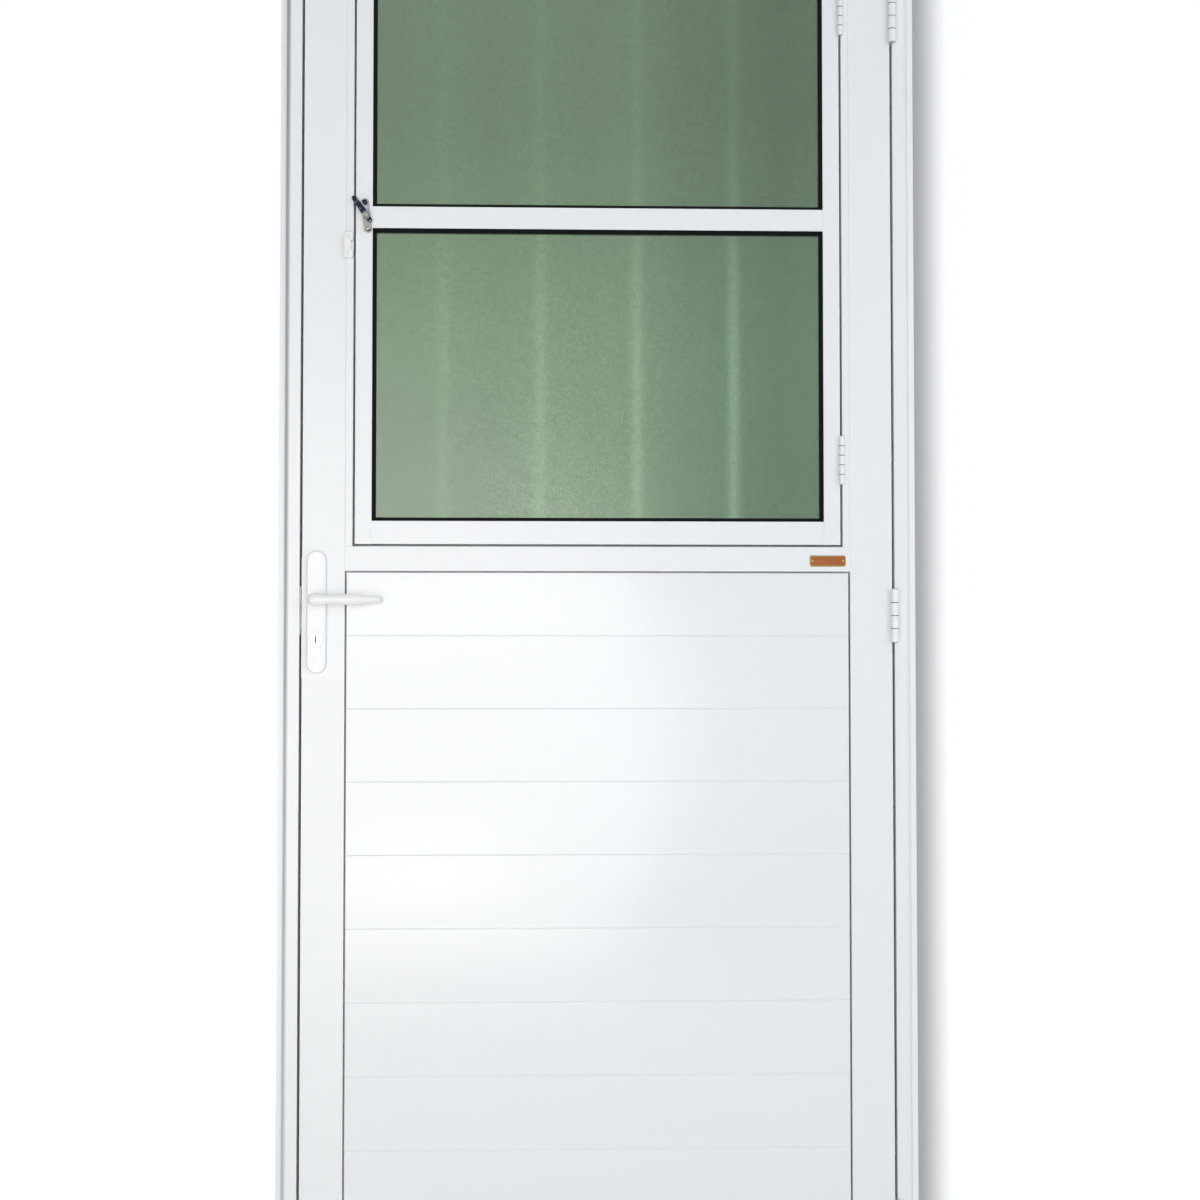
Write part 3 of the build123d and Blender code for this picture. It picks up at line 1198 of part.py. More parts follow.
# Fastener: lever with a tongue towards the leaf and a short thumb tail
tongue_turn = math.radians(FASTENER_TONGUE_ANGLE)
tongue_tip = (
    pivot_x + FASTENER_TONGUE_LENGTH * math.cos(tongue_turn),
    pivot_z + FASTENER_TONGUE_LENGTH * math.sin(tongue_turn),
)
tail_tip = (
    pivot_x - FASTENER_TAIL_LENGTH * math.cos(tongue_turn),
    pivot_z - FASTENER_TAIL_LENGTH * math.sin(tongue_turn),
)
with BuildPart() as fastener_lever:
    with BuildSketch(Plane.XZ.offset(-tongue_front)):
        with Locations((pivot_x, pivot_z)):
            Circle(FASTENER_WAIST_RADIUS)
        with Locations(tongue_tip):
            Circle(FASTENER_TONGUE_TIP)
        with Locations(tail_tip):
            Circle(FASTENER_TONGUE_TIP)
        make_hull()
        with Locations((pivot_x, pivot_z)):
            Circle(FASTENER_HUB_RADIUS)
            Circle(FASTENER_STUD_RADIUS + PIN_CLEARANCE, mode=Mode.SUBTRACT)
    extrude(amount=-FASTENER_LEVER_THICKNESS)
    outer_edges = fastener_lever.faces().sort_by(Axis.Y)[0].outer_wire().edges()
    fillet(outer_edges, FASTENER_LEVER_ROUND)
fastener_lever.part.label = "fastener_lever"
export_step(fastener_lever.part, "parts/fastener_lever.step")
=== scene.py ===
"""Aluminium panel door with a ventilation sash, in its frame: finishes, small pieces and stage."""

import json
import math

import bpy
import numpy as np
from bpy.props import FloatProperty, FloatVectorProperty, IntProperty, PointerProperty
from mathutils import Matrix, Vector


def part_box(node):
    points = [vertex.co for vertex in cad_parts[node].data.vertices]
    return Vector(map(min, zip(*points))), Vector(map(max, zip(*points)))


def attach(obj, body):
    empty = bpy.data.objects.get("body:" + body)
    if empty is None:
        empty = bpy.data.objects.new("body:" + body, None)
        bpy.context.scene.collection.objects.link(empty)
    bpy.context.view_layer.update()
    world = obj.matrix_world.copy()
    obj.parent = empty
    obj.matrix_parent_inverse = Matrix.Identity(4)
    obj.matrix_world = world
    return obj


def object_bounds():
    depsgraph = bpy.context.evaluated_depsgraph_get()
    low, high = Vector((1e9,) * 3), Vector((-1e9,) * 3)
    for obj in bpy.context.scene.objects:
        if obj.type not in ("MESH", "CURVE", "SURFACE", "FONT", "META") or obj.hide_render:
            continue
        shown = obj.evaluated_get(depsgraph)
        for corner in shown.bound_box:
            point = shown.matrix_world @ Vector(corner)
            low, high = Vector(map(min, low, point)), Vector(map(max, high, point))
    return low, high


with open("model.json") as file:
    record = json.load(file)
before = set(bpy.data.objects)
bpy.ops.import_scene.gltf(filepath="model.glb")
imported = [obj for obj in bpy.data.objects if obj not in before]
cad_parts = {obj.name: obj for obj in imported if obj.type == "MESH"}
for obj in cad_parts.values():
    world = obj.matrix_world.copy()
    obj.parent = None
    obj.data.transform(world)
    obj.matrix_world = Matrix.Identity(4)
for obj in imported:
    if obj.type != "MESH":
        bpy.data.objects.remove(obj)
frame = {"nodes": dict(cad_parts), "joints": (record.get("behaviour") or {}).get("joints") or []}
cad_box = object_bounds()

bl_info = {
    "name": "Aluminium Panel Door",
    "version": (1, 0, 0),
    "blender": (4, 5, 0),
    "location": "3D View > Sidebar > Panel Door",
    "description": "Finishes and small pieces of an aluminium door with a ventilation sash",
    "category": "Object",
}

RAIL_LOW, RAIL_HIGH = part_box("rail_middle")
BASE_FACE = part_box("fastener_base")[0].y
LEVER_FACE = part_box("fastener_lever")[0].y
LOWEST_BOARD_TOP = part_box("board_01")[1].z
JOINT_PLACES = {joint["name"]: joint.get("pos_m") for joint in frame["joints"]}

# Metres: SEAT is how far a new piece sinks into what carries it
SEAT = 0.0001
LEAST_RADIUS = 0.0001
EDGE_BEVEL = 0.0002
RIVET_INSET = 0.0038
PLATE_DROP = 0.001
KEYWAY_HALF = 0.0013
NICKEL_SKIN = 0.0002
COAT_WAVE = 0.00035
FLOOR_DUST_HEIGHT = 0.16
SHARP_ANGLE = math.radians(38)

# Depth of the grain lines on each kind of metal face, in metres
BRUSHED, ZINCED, PLATED, CAST, POLISHED = 0.000012, 0.000006, 0.000004, 0.000003, 0.000002

# Second tones that the noise mixes in, and the most that the floor's dust covers
COOL_COAT = (0.7, 0.74, 0.8, 1)
FLOOR_DUST = (0.42, 0.38, 0.32, 1)
FLOOR_DUST_SHARE = 0.16
WORN_RUBBER = (0.02, 0.02, 0.021, 1)
DEEP_GLASS = (0.15, 0.25, 0.18, 1)
GRAIN_GLASS = (0.1, 0.18, 0.11, 1)
LIGHT_COPPER = (0.34, 0.12, 0.04, 1)


# Settings


def colour_setting(name, description, default):
    """A colour without alpha, in linear light."""
    return FloatVectorProperty(
        name=name, description=description, default=default, subtype="COLOR", min=0.0, max=1.0
    )


def length_setting(name, description, default):
    """A length in metres, shown in the scene's own unit."""
    return FloatProperty(
        name=name, description=description, default=default, min=0.0, precision=5, unit="LENGTH"
    )


def share_setting(name, description, default):
    """A share from none to all."""
    return FloatProperty(
        name=name, description=description, default=default, min=0.0, max=1.0, subtype="FACTOR"
    )


def angle_setting(name, description, degrees):
    """An angle, given in degrees."""
    return FloatProperty(
        name=name, description=description, default=math.radians(degrees), subtype="ANGLE"
    )


class DoorPaintSettings(bpy.types.PropertyGroup):
    """White powder coat on the extrusions, the boards and the furniture."""

    colour: colour_setting("Colour", "Powder coat", (0.8, 0.812, 0.822))
    furniture_colour: colour_setting("Furniture", "Coat on hinges and levers", (0.83, 0.83, 0.82))
    roughness: share_setting("Roughness", "Of the coat on the extrusions", 0.3)
    board_roughness: share_setting("Board roughness", "Of the coat on the boards", 0.15)
    peel_size: length_setting("Peel size", "Width of one bump of the coat's orange peel", 0.0024)
    peel_depth: length_setting("Peel depth", "Height of the orange peel", 0.000006)
    knuckle_line: length_setting("Knuckle line", "Height of the line between knuckles", 0.0008)
    flange_width: length_setting("Flange width", "From the frame's outline to the corner", 0.0088)
    # Painted shade in the corner beside the flange: its colour, how far it covers and its width
    dust_and_shade: colour_setting("Dust", "Lies in the corner beside the flange", (0.14, 0.175, 0.225))
    shade_depth: share_setting("Dust depth", "How far the dust covers the coat", 0.9)
    shade_reach: length_setting("Dust reach", "Width of the dust beside the flange", 0.007)
    board_pitch: length_setting("Board pitch", "Height that one board covers", 0.1)
    board_crown: length_setting("Board crown", "How far a board's middle stands proud", 0.00022)


class DoorGlassSettings(bpy.types.PropertyGroup):
    """Green obscure glass and the rubber round it."""

    colour: colour_setting("Colour", "Tint of the glass", (0.29, 0.42, 0.265))
    roughness: share_setting("Roughness", "Of the obscure face", 0.17)
    clearness: share_setting("Clearness", "Share of the light that goes through", 0.8)
    grain_size: length_setting("Grain size", "Width of one grain of the obscure face", 0.0026)
    grain_depth: length_setting("Grain depth", "Height of the grain", 0.00012)
    mottle: share_setting("Mottle", "How far the darkest grains darken the glass", 0.4)
    rubber: colour_setting("Rubber", "Seal and glazing channels", (0.004, 0.004, 0.0045))


class DoorMetalSettings(bpy.types.PropertyGroup):
    """Bare and plated metals."""

    aluminium: colour_setting("Aluminium", "Threshold", (0.74, 0.745, 0.75))
    steel: colour_setting("Steel", "Screws, pins, bolts and lock case", (0.62, 0.62, 0.61))
    chrome: colour_setting("Chrome", "Fastener, where it is bright", (0.66, 0.64, 0.6))
    # Painted reflection: the fastener's dark chrome stands for dark surroundings mirrored in it
    dark_chrome: colour_setting("Dark chrome", "Fastener, where it is dark", (0.02, 0.028, 0.05))
    nickel: colour_setting("Nickel", "Face of the lock cylinder", (0.86, 0.85, 0.82))
    brass: colour_setting("Brass", "Keyway and sides of the lock cylinder", (0.32, 0.17, 0.06))


class DoorPlateSettings(bpy.types.PropertyGroup):
    """Bare riveted plate on the middle rail."""

    width: length_setting("Width", "Across the plate", 0.05)
    height: length_setting("Height", "Up the plate", 0.0154)
    thickness: length_setting("Thickness", "Out from the rail", 0.0009)
    corner: length_setting("Corner", "Radius of its corners", 0.0028)
    rim: length_setting("Rim", "Width of the raised rim", 0.0019)
    sink: length_setting("Sink", "Depth of the field below the rim", 0.00035)
    from_end: length_setting("From the rail's end", "To the plate's middle", 0.031)
    rivet: length_setting("Rivet radius", "Of the domed rivets", 0.0016)
    rim_colour: colour_setting("Rim colour", "Gilt rim", (0.3, 0.2, 0.065))
    rivet_colour: colour_setting("Rivet colour", "Brass rivets", (0.66, 0.42, 0.12))
    field_colour: colour_setting("Field colour", "Copper field", (0.2, 0.058, 0.022))


class DoorFastenerSettings(bpy.types.PropertyGroup):
    """Screws and cap ring of the sash fastener."""

    screw_radius: length_setting("Screw radius", "Of the lens heads", 0.0034)
    screw_rise: length_setting("Screw rise", "Height of the lens heads", 0.0014)
    screw_reach: length_setting("Screw reach", "From the pivot to each screw", 0.0185)
    tilt: angle_setting("Tilt", "Lean of the base", 6.5)
    cap_inner: length_setting("Cap inside", "Inner radius of the cap ring", 0.0043)
    cap_outer: length_setting("Cap outside", "Outer radius of the cap ring", 0.0053)
    cap_rise: length_setting("Cap rise", "Height of the cap ring", 0.0009)
    columns: IntProperty(name="Columns", description="Points round each form", default=72, min=24)


class DoorStageSettings(bpy.types.PropertyGroup):
    """Camera, lamps and background."""

    lens: FloatProperty(name="Lens", description="Focal length", default=52.25, unit="CAMERA")
    camera_place: FloatVectorProperty(
        name="Camera",
        description="Place of the camera",
        default=(-0.0738, -2.42, 0.9869),
        unit="LENGTH",
    )
    yaw: angle_setting("Yaw", "Turn to the right", 1.81)
    pitch: angle_setting("Pitch", "Tilt upwards", 1.78)
    surround: share_setting("Surround", "Level of the even light from all sides", 0.6)
    left_share: share_setting("Left share", "Part of the even light left on the left side", 0.2)
    key_level: share_setting("Key level", "Level of the lamp from the left", 0.405)
    floor_colour: colour_setting("Floor colour", "Pale floor", (0.86, 0.86, 0.855))


# Meshes


def piece_from(name, points, faces, body, attributes=()):
    """A smooth piece from points and faces that rides on a body. The faces are turned over where
    the enclosed volume is negative: a sixth of the summed triple products of each face's corners,
    where a four-sided face counts as two triangles."""
    halves = [part[:, [0, k, k + 1]] for part in faces for k in range(1, part.shape[1] - 1)]
    a, b, c = ((points - points.mean(axis=0))[np.concatenate(halves)[:, k]] for k in range(3))
    if np.einsum("ij,ij->", a, np.cross(b, c)) < 0:
        faces = [part[:, ::-1] for part in faces]
    mesh = bpy.data.meshes.new(name)
    mesh.from_pydata(points.tolist(), [], [face for part in faces for face in part.tolist()])
    mesh.polygons.foreach_set("use_smooth", np.ones(len(mesh.polygons), dtype=bool))
    mesh.set_sharp_from_angle(angle=SHARP_ANGLE)
    for attribute, values in attributes:
        layer = mesh.attributes.new(attribute, "FLOAT", "POINT")
        layer.data.foreach_set("value", values.astype(np.float32))
    piece = bpy.data.objects.new(name, mesh)
    bpy.context.scene.collection.objects.link(piece)
    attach(piece, body)
    return piece


def skin(name, rings, body, attributes=()):
    """A closed skin over rings of points: four-sided faces between each ring and the next, and at
    both ends a fan to the mean of the ring."""
    rows, columns = rings.shape[:2]
    here = np.arange(rows * columns).reshape(rows, columns)
    beside = np.roll(here, -1, axis=1)
    quads = np.stack([here[:-1], beside[:-1], beside[1:], here[1:]], axis=-1).reshape(-1, 4)
    first_fan = np.stack([beside[0], here[0], np.full(columns, rows * columns)], axis=-1)
    last_fan = np.stack([here[-1], beside[-1], np.full(columns, rows * columns + 1)], axis=-1)
    tips = [rings[0].mean(axis=0), rings[-1].mean(axis=0)]
    points = np.concatenate([rings.reshape(-1, 3), tips])
    carried = [
        (attribute, np.concatenate([values.reshape(-1), [values[0].mean(), values[-1].mean()]]))
        for attribute, values in attributes
    ]
    return piece_from(name, points, [quads, first_fan, last_fan], body, carried)


def bands(name, rings, body):
    """Closed bands: each is a profile carried round a circle, and its faces join row to row and
    column to column, both wrapping round. The first axis counts the bands of one piece."""
    here = np.arange(rings[..., 0].size).reshape(rings.shape[:3])
    beside = np.roll(here, -1, axis=2)
    above, beside_above = np.roll(here, -1, axis=1), np.roll(beside, -1, axis=1)
    quads = np.stack([here, beside, beside_above, above], axis=-1)
    return piece_from(name, rings.reshape(-1, 3), [quads.reshape(-1, 4)], body)


def rounded_rectangle(width, height, corner, inset, depth, steps=8):
    """One ring of a rectangle with round corners, drawn in by an inset. Each corner is a quarter
    circle about a centre one radius in from both sides, and the next ring point joins it to its
    neighbour."""
    turn = (np.arange(4)[:, None] + np.linspace(0, 1, steps)[None, :]) * math.pi / 2
    radius = max(corner - inset, LEAST_RADIUS)
    side_x = np.array([1, -1, -1, 1])[:, None] * (width / 2 - inset - radius)
    side_z = np.array([1, 1, -1, -1])[:, None] * (height / 2 - inset - radius)
    x = side_x + radius * np.cos(turn)
    z = side_z + radius * np.sin(turn)
    return np.stack([x, np.full_like(x, -depth), z], axis=-1).reshape(-1, 3)


def turned_rings(profile, columns):
    """Rings of a form turned about the Y axis: each pair of the profile is a radius and a height
    out of the face, and a ring is the circle of that radius at that height."""
    radius, rise = np.asarray(profile, dtype=float).T
    turn = np.linspace(0, 2 * math.pi, columns, endpoint=False)
    x = radius[:, None] * np.cos(turn)
    z = radius[:, None] * np.sin(turn)
    return np.stack([x, np.broadcast_to(-rise[:, None], x.shape), z], axis=-1)


def lens_screw_rings(radius, rise, seat, turned, columns, rows=26):
    """Rings of a lens head with a cross recess. The height is a quarter of the rise, plus three
    quarters of it times one less the squared share of the radius, less a recess whose depth fades
    at the sides and ends of two crossed arms."""
    share = np.concatenate([[1.0, 1.0], np.linspace(1.0, 0.03, rows)])
    turn = np.linspace(0, 2 * math.pi, columns, endpoint=False)
    x = radius * share[:, None] * np.cos(turn)
    z = radius * share[:, None] * np.sin(turn)
    along = x * math.cos(turned) + z * math.sin(turned)
    across = z * math.cos(turned) - x * math.sin(turned)
    arm, half, fade = 0.56 * radius, 0.11 * radius, 0.06 * radius
    arms = [
        np.clip((arm - np.abs(u)) / fade, 0, 1) * np.clip((half - np.abs(v)) / fade + 0.5, 0, 1)
        for u, v in ((along, across), (across, along))
    ]
    height = rise * (0.25 + 0.75 * (1 - share[:, None] ** 2)) - 0.6 * rise * np.maximum(*arms)
    height[0], height[1] = -seat, 0.0
    return np.stack([x, -height, z], axis=-1)


# Shader nodes


VECTOR, COLOUR, VALUE = "NodeSocketVector", "NodeSocketColor", "NodeSocketFloat"


def group_of(name, inputs, outputs):
    """A new shader node group with these sockets, and its input and output nodes."""
    tree = bpy.data.node_groups.new(name, "ShaderNodeTree")
    for way, sockets in (("INPUT", inputs), ("OUTPUT", outputs)):
        for socket, kind in sockets.items():
            tree.interface.new_socket(name=socket, in_out=way, socket_type=kind)
    return tree, tree.nodes.new("NodeGroupInput"), tree.nodes.new("NodeGroupOutput")


def math_node(tree, operation, first, second=None, third=None):
    """A Math node fed by sockets or numbers, and its output."""
    node = tree.nodes.new("ShaderNodeMath")
    node.operation = operation
    for socket, value in zip(node.inputs, (first, second, third)):
        if isinstance(value, bpy.types.NodeSocket):
            tree.links.new(value, socket)
        elif value is not None:
            socket.default_value = value
    return node.outputs[0]


def noise(tree, vector, scale, detail=2.0, roughness=0.5):
    """A noise's value, at a scale that is a number or a socket."""
    node = tree.nodes.new("ShaderNodeTexNoise")
    tree.links.new(vector, node.inputs["Vector"])
    if isinstance(scale, bpy.types.NodeSocket):
        tree.links.new(scale, node.inputs["Scale"])
    else:
        node.inputs["Scale"].default_value = scale
    node.inputs["Detail"].default_value = detail
    node.inputs["Roughness"].default_value = roughness
    return node.outputs["Fac"]


def multiply(tree, first, second):
    """The product of two sockets or numbers."""
    return math_node(tree, "MULTIPLY", first, second)


def axes(tree, vector):
    """The vector's X, Y and Z."""
    node = tree.nodes.new("ShaderNodeSeparateXYZ")
    tree.links.new(vector, node.inputs[0])
    return node.outputs


def map_range(tree, value, start, end, low, high, smooth=False):
    """A value carried from one span to another and held at both ends, on a soft curve if asked."""
    node = tree.nodes.new("ShaderNodeMapRange")
    node.interpolation_type = "SMOOTHSTEP" if smooth else "LINEAR"
    tree.links.new(value, node.inputs["Value"])
    spans = {"From Min": start, "From Max": end, "To Min": low, "To Max": high}
    for socket, bound in spans.items():
        node.inputs[socket].default_value = bound
    return node.outputs["Result"]


def shader_node(tree, kind, *sources):
    """A shader node whose first inputs take these sockets, and its output."""
    node = tree.nodes.new(kind)
    for socket, source in zip(node.inputs, sources):
        if source is not None:
            tree.links.new(source, socket)
    return node.outputs[0]


def ray(tree, kind):
    """One where the ray is of this kind, and none elsewhere."""
    return tree.nodes.new("ShaderNodeLightPath").outputs[f"Is {kind} Ray"]


def stretched(tree, vector, scale):
    """The vector scaled along each axis."""
    node = tree.nodes.new("ShaderNodeMapping")
    tree.links.new(vector, node.inputs["Vector"])
    node.inputs["Scale"].default_value = scale
    return node.outputs["Vector"]


def mix_colour(tree, share, first, second):
    """Two colours mixed by a share."""
    node = tree.nodes.new("ShaderNodeMix")
    node.data_type = "RGBA"
    for name, value in (("Factor", share), ("A", first), ("B", second)):
        if isinstance(value, bpy.types.NodeSocket):
            tree.links.new(value, node.inputs[name])
        else:
            node.inputs[name].default_value = value
    return node.outputs["Result"]


def powder_coat_group():
    """Orange peel, slow changes of tone and dust near the floor, for every powder-coated piece."""
    tree, given, result = group_of(
        "Powder coat",
        {
            "Vector": VECTOR,
            "Colour": COLOUR,
            "Roughness": VALUE,
            "Peel Scale": VALUE,
            "Peel Depth": VALUE,
        },
        {"Colour": COLOUR, "Roughness": VALUE, "Height": VALUE},
    )
    vector = given.outputs["Vector"]
    peel = noise(tree, vector, given.outputs["Peel Scale"], detail=1.0)
    slow = noise(tree, stretched(tree, vector, (1.0, 1.0, 0.4)), 3.0, detail=3.0)
    wave = noise(tree, stretched(tree, vector, (6.0, 6.0, 0.8)), 2.0, detail=1.0)
    height = multiply(tree, peel, given.outputs["Peel Depth"])
    height = math_node(tree, "MULTIPLY_ADD", wave, COAT_WAVE, height)
    low = map_range(tree, axes(tree, vector)["Z"], 0.0, FLOOR_DUST_HEIGHT, 1.0, 0.0)
    dust_and_shade = multiply(tree, low, noise(tree, vector, 38.0, detail=6.0, roughness=0.7))
    dust_and_shade = multiply(tree, dust_and_shade, FLOOR_DUST_SHARE)
    tone = mix_colour(tree, multiply(tree, slow, 0.05), given.outputs["Colour"], COOL_COAT)
    dusty = mix_colour(tree, dust_and_shade, tone, FLOOR_DUST)
    tree.links.new(dusty, result.inputs["Colour"])
    drift = math_node(tree, "SUBTRACT", slow, 0.5)
    rough = math_node(tree, "MULTIPLY_ADD", drift, 0.1, given.outputs["Roughness"])
    tree.links.new(math_node(tree, "ADD", rough, dust_and_shade), result.inputs["Roughness"])
    tree.links.new(height, result.inputs["Height"])
    return tree


def board_crown_group():
    """Height of the crowned boards: over each pitch, the crown times one less the squared distance
    from the board's middle, counted in half pitches."""
    tree, given, result = group_of(
        "Board crown",
        {"Vector": VECTOR, "First Joint": VALUE, "Pitch": VALUE, "Crown": VALUE},
        {"Height": VALUE},
    )
    height = axes(tree, given.outputs["Vector"])["Z"]
    count = math_node(tree, "SUBTRACT", height, given.outputs["First Joint"])
    count = math_node(tree, "FRACT", math_node(tree, "DIVIDE", count, given.outputs["Pitch"]))
    side = math_node(tree, "MULTIPLY_ADD", count, 2.0, -1.0)
    bow = math_node(tree, "SUBTRACT", 1.0, multiply(tree, side, side))
    tree.links.new(multiply(tree, bow, given.outputs["Crown"]), result.inputs["Height"])
    return tree


def metal_grain_group():
    """Fine lines along one axis and soft handling marks, for bare, plated and polished metal."""
    tree, given, result = group_of(
        "Metal grain",
        {"Vector": VECTOR, "Roughness": VALUE, "Line Depth": VALUE},
        {"Marks": VALUE, "Roughness": VALUE, "Height": VALUE},
    )
    vector = given.outputs["Vector"]
    along = stretched(tree, vector, (0.02, 1.0, 1.0))
    lines = noise(tree, along, 2600.0, detail=3.0, roughness=0.7)
    marks = noise(tree, vector, 140.0, detail=5.0, roughness=0.65)
    drift = math_node(tree, "SUBTRACT", marks, 0.5)
    rough = math_node(tree, "MULTIPLY_ADD", drift, 0.35, given.outputs["Roughness"])
    tree.links.new(marks, result.inputs["Marks"])
    tree.links.new(math_node(tree, "MAXIMUM", rough, 0.05), result.inputs["Roughness"])
    tree.links.new(multiply(tree, lines, given.outputs["Line Depth"]), result.inputs["Height"])
    return tree


GROUPS = {}


def placed_group(tree, maker, **values):
    """A group in a material, made when it is first asked for, on Object coordinates."""
    if maker not in GROUPS:
        GROUPS[maker] = maker()
    node = tree.nodes.new("ShaderNodeGroup")
    node.node_tree = GROUPS[maker]
    tree.links.new(object_vector(tree), node.inputs["Vector"])
    for socket, value in values.items():
        node.inputs[socket.replace("_", " ").title()].default_value = value
    return node


def object_vector(tree):
    """Object coordinates of a material, from its one Texture Coordinate node."""
    node = tree.nodes.get("Coordinates") or tree.nodes.new("ShaderNodeTexCoord")
    node.name = "Coordinates"
    return node.outputs["Object"]


def new_material(name, **values):
    """A material with a Principled shader, and the shader's own values set by name."""
    material = bpy.data.materials.new(name)
    material.use_nodes = True
    shader = material.node_tree.nodes["Principled BSDF"]
    for socket, value in values.items():
        shader.inputs[socket.replace("_", " ").title().replace("Ior", "IOR")].default_value = value
    return material, material.node_tree, shader


def feed(tree, shader, tone, rough, height, distance=1.0):
    """A tone, a roughness where there is one, and a height in metres feed the shader."""
    tree.links.new(tone, shader.inputs["Base Color"])
    if rough is not None:
        tree.links.new(rough, shader.inputs["Roughness"])
    bump = tree.nodes.new("ShaderNodeBump")
    bump.inputs["Strength"].default_value = 1.0
    bump.inputs["Distance"].default_value = distance
    tree.links.new(height, bump.inputs["Height"])
    tree.links.new(bump.outputs["Normal"], shader.inputs["Normal"])


def opaque(colour):
    """A colour with full alpha."""
    return (*colour, 1.0)


def bare_material(name):
    """A material with an empty node tree, and that tree."""
    material = bpy.data.materials.new(name)
    material.use_nodes = True
    material.node_tree.nodes.clear()
    return material, material.node_tree


def coat_material(name, colour, roughness, paint, crowned=False):
    """Powder coat, with the crown of the boards where asked."""
    material, tree, shader = new_material(name, specular_ior_level=0.5, ior=1.5)
    coat = placed_group(
        tree,
        powder_coat_group,
        colour=opaque(colour),
        roughness=roughness,
        peel_scale=1.0 / paint.peel_size,
        peel_depth=paint.peel_depth,
    )
    height = coat.outputs["Height"]
    if crowned:
        crown = placed_group(
            tree,
            board_crown_group,
            first_joint=LOWEST_BOARD_TOP - paint.board_pitch,
            pitch=paint.board_pitch,
            crown=paint.board_crown,
        )
        height = math_node(tree, "ADD", height, crown.outputs["Height"])
    feed(tree, shader, coat.outputs["Colour"], coat.outputs["Roughness"], height)
    return material


def metal_material(name, colour, roughness, lines, dark=None):
    """Plain or plated metal with grain and handling marks, darker between the marks if asked: a
    dark colour asked for there is painted dark reflection.
    """
    material, tree, shader = new_material(name, metallic=1.0)
    grain = placed_group(tree, metal_grain_group, roughness=roughness, line_depth=lines)
    # A dark colour given here paints dark reflection between the handling marks
    second = opaque(dark) if dark else opaque([0.8 * part for part in colour])
    start, end = (0.56, 0.72) if dark else (0.35, 0.75)
    share = map_range(tree, grain.outputs["Marks"], start, end, 0.0, 1.0, smooth=True)
    tone = mix_colour(tree, share, second, opaque(colour))
    feed(tree, shader, tone, grain.outputs["Roughness"], grain.outputs["Height"])
    return material


def cylinder_material(name, metal, axis=None):
    """Nickel with brass under it: brass shows on the sides of the cylinder, a little in from its
    two end faces, or near the plug's axis where one is given, as the keyway is there."""
    material, tree, shader = new_material(name, metallic=1.0)
    grain = placed_group(tree, metal_grain_group, roughness=0.34, line_depth=PLATED)
    place = axes(tree, object_vector(tree))
    if axis is None:
        low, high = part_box("lock_cylinder")
        away = math_node(tree, "SUBTRACT", place["Y"], (low.y + high.y) / 2)
        away = math_node(tree, "ABSOLUTE", away)
        share = math_node(tree, "LESS_THAN", away, (high.y - low.y) / 2 - NICKEL_SKIN)
    else:
        away = math_node(tree, "ABSOLUTE", math_node(tree, "SUBTRACT", place["X"], axis[0]))
        share = math_node(tree, "LESS_THAN", away, KEYWAY_HALF)
    tone = mix_colour(tree, share, opaque(metal.nickel), opaque(metal.brass))
    feed(tree, shader, tone, grain.outputs["Roughness"], grain.outputs["Height"])
    return material


def rubber_material(name, colour):
    """Soft black rubber with a fine, uneven skin."""
    material, tree, shader = new_material(name, specular_ior_level=0.1)
    vector = object_vector(tree)
    bloom = noise(tree, vector, 60.0, detail=5.0, roughness=0.6)
    tone = mix_colour(tree, multiply(tree, bloom, 0.25), opaque(colour), WORN_RUBBER)
    rough = math_node(tree, "MULTIPLY_ADD", bloom, 0.25, 0.45)
    feed(tree, shader, tone, rough, noise(tree, vector, 900.0), distance=0.00004)
    return material


def glass_material(name, glass):
    """Green obscure glass: a fine pressed grain, and a tone that changes slowly over the pane."""
    material, tree, shader = new_material(
        name,
        metallic=0.0,
        roughness=glass.roughness,
        transmission_weight=glass.clearness,
        ior=1.5,
        specular_ior_level=0.2,
    )
    vector = object_vector(tree)
    slow = multiply(tree, noise(tree, vector, 2.2), 0.3)
    tint = mix_colour(tree, slow, opaque(glass.colour), DEEP_GLASS)
    grain = noise(tree, vector, 1.0 / glass.grain_size, detail=3.0, roughness=0.6)
    speck = map_range(tree, grain, 0.4, 0.6, 0.0, glass.mottle)
    speckled = mix_colour(tree, speck, tint, GRAIN_GLASS)
    feed(tree, shader, speckled, None, grain, distance=glass.grain_depth)
    return material


def plate_material(name, plate):
    """Gilt rim round a copper field, told apart by the mesh's own attribute."""
    material, tree, shader = new_material(name, metallic=0.85)
    field = tree.nodes.new("ShaderNodeAttribute")
    field.attribute_name = "field"
    grain = placed_group(tree, metal_grain_group, roughness=0.34, line_depth=PLATED)
    marks = grain.outputs["Marks"]
    copper = mix_colour(tree, marks, opaque(plate.field_colour), LIGHT_COPPER)
    tone = mix_colour(tree, field.outputs["Fac"], opaque(plate.rim_colour), copper)
    feed(tree, shader, tone, grain.outputs["Roughness"], grain.outputs["Height"])
    return material


def finish(material, *names):
    """The material goes on every slot of these carried-over nodes."""
    for name in names:
        piece = frame["nodes"][name]
        if not piece.material_slots:
            piece.data.materials.append(material)
        for slot in piece.material_slots:
            slot.material = material


def named(*starts):
    """The nodes whose names start with one of these words."""
    return sorted(name for name in frame["nodes"] if name.startswith(starts))


# Operators


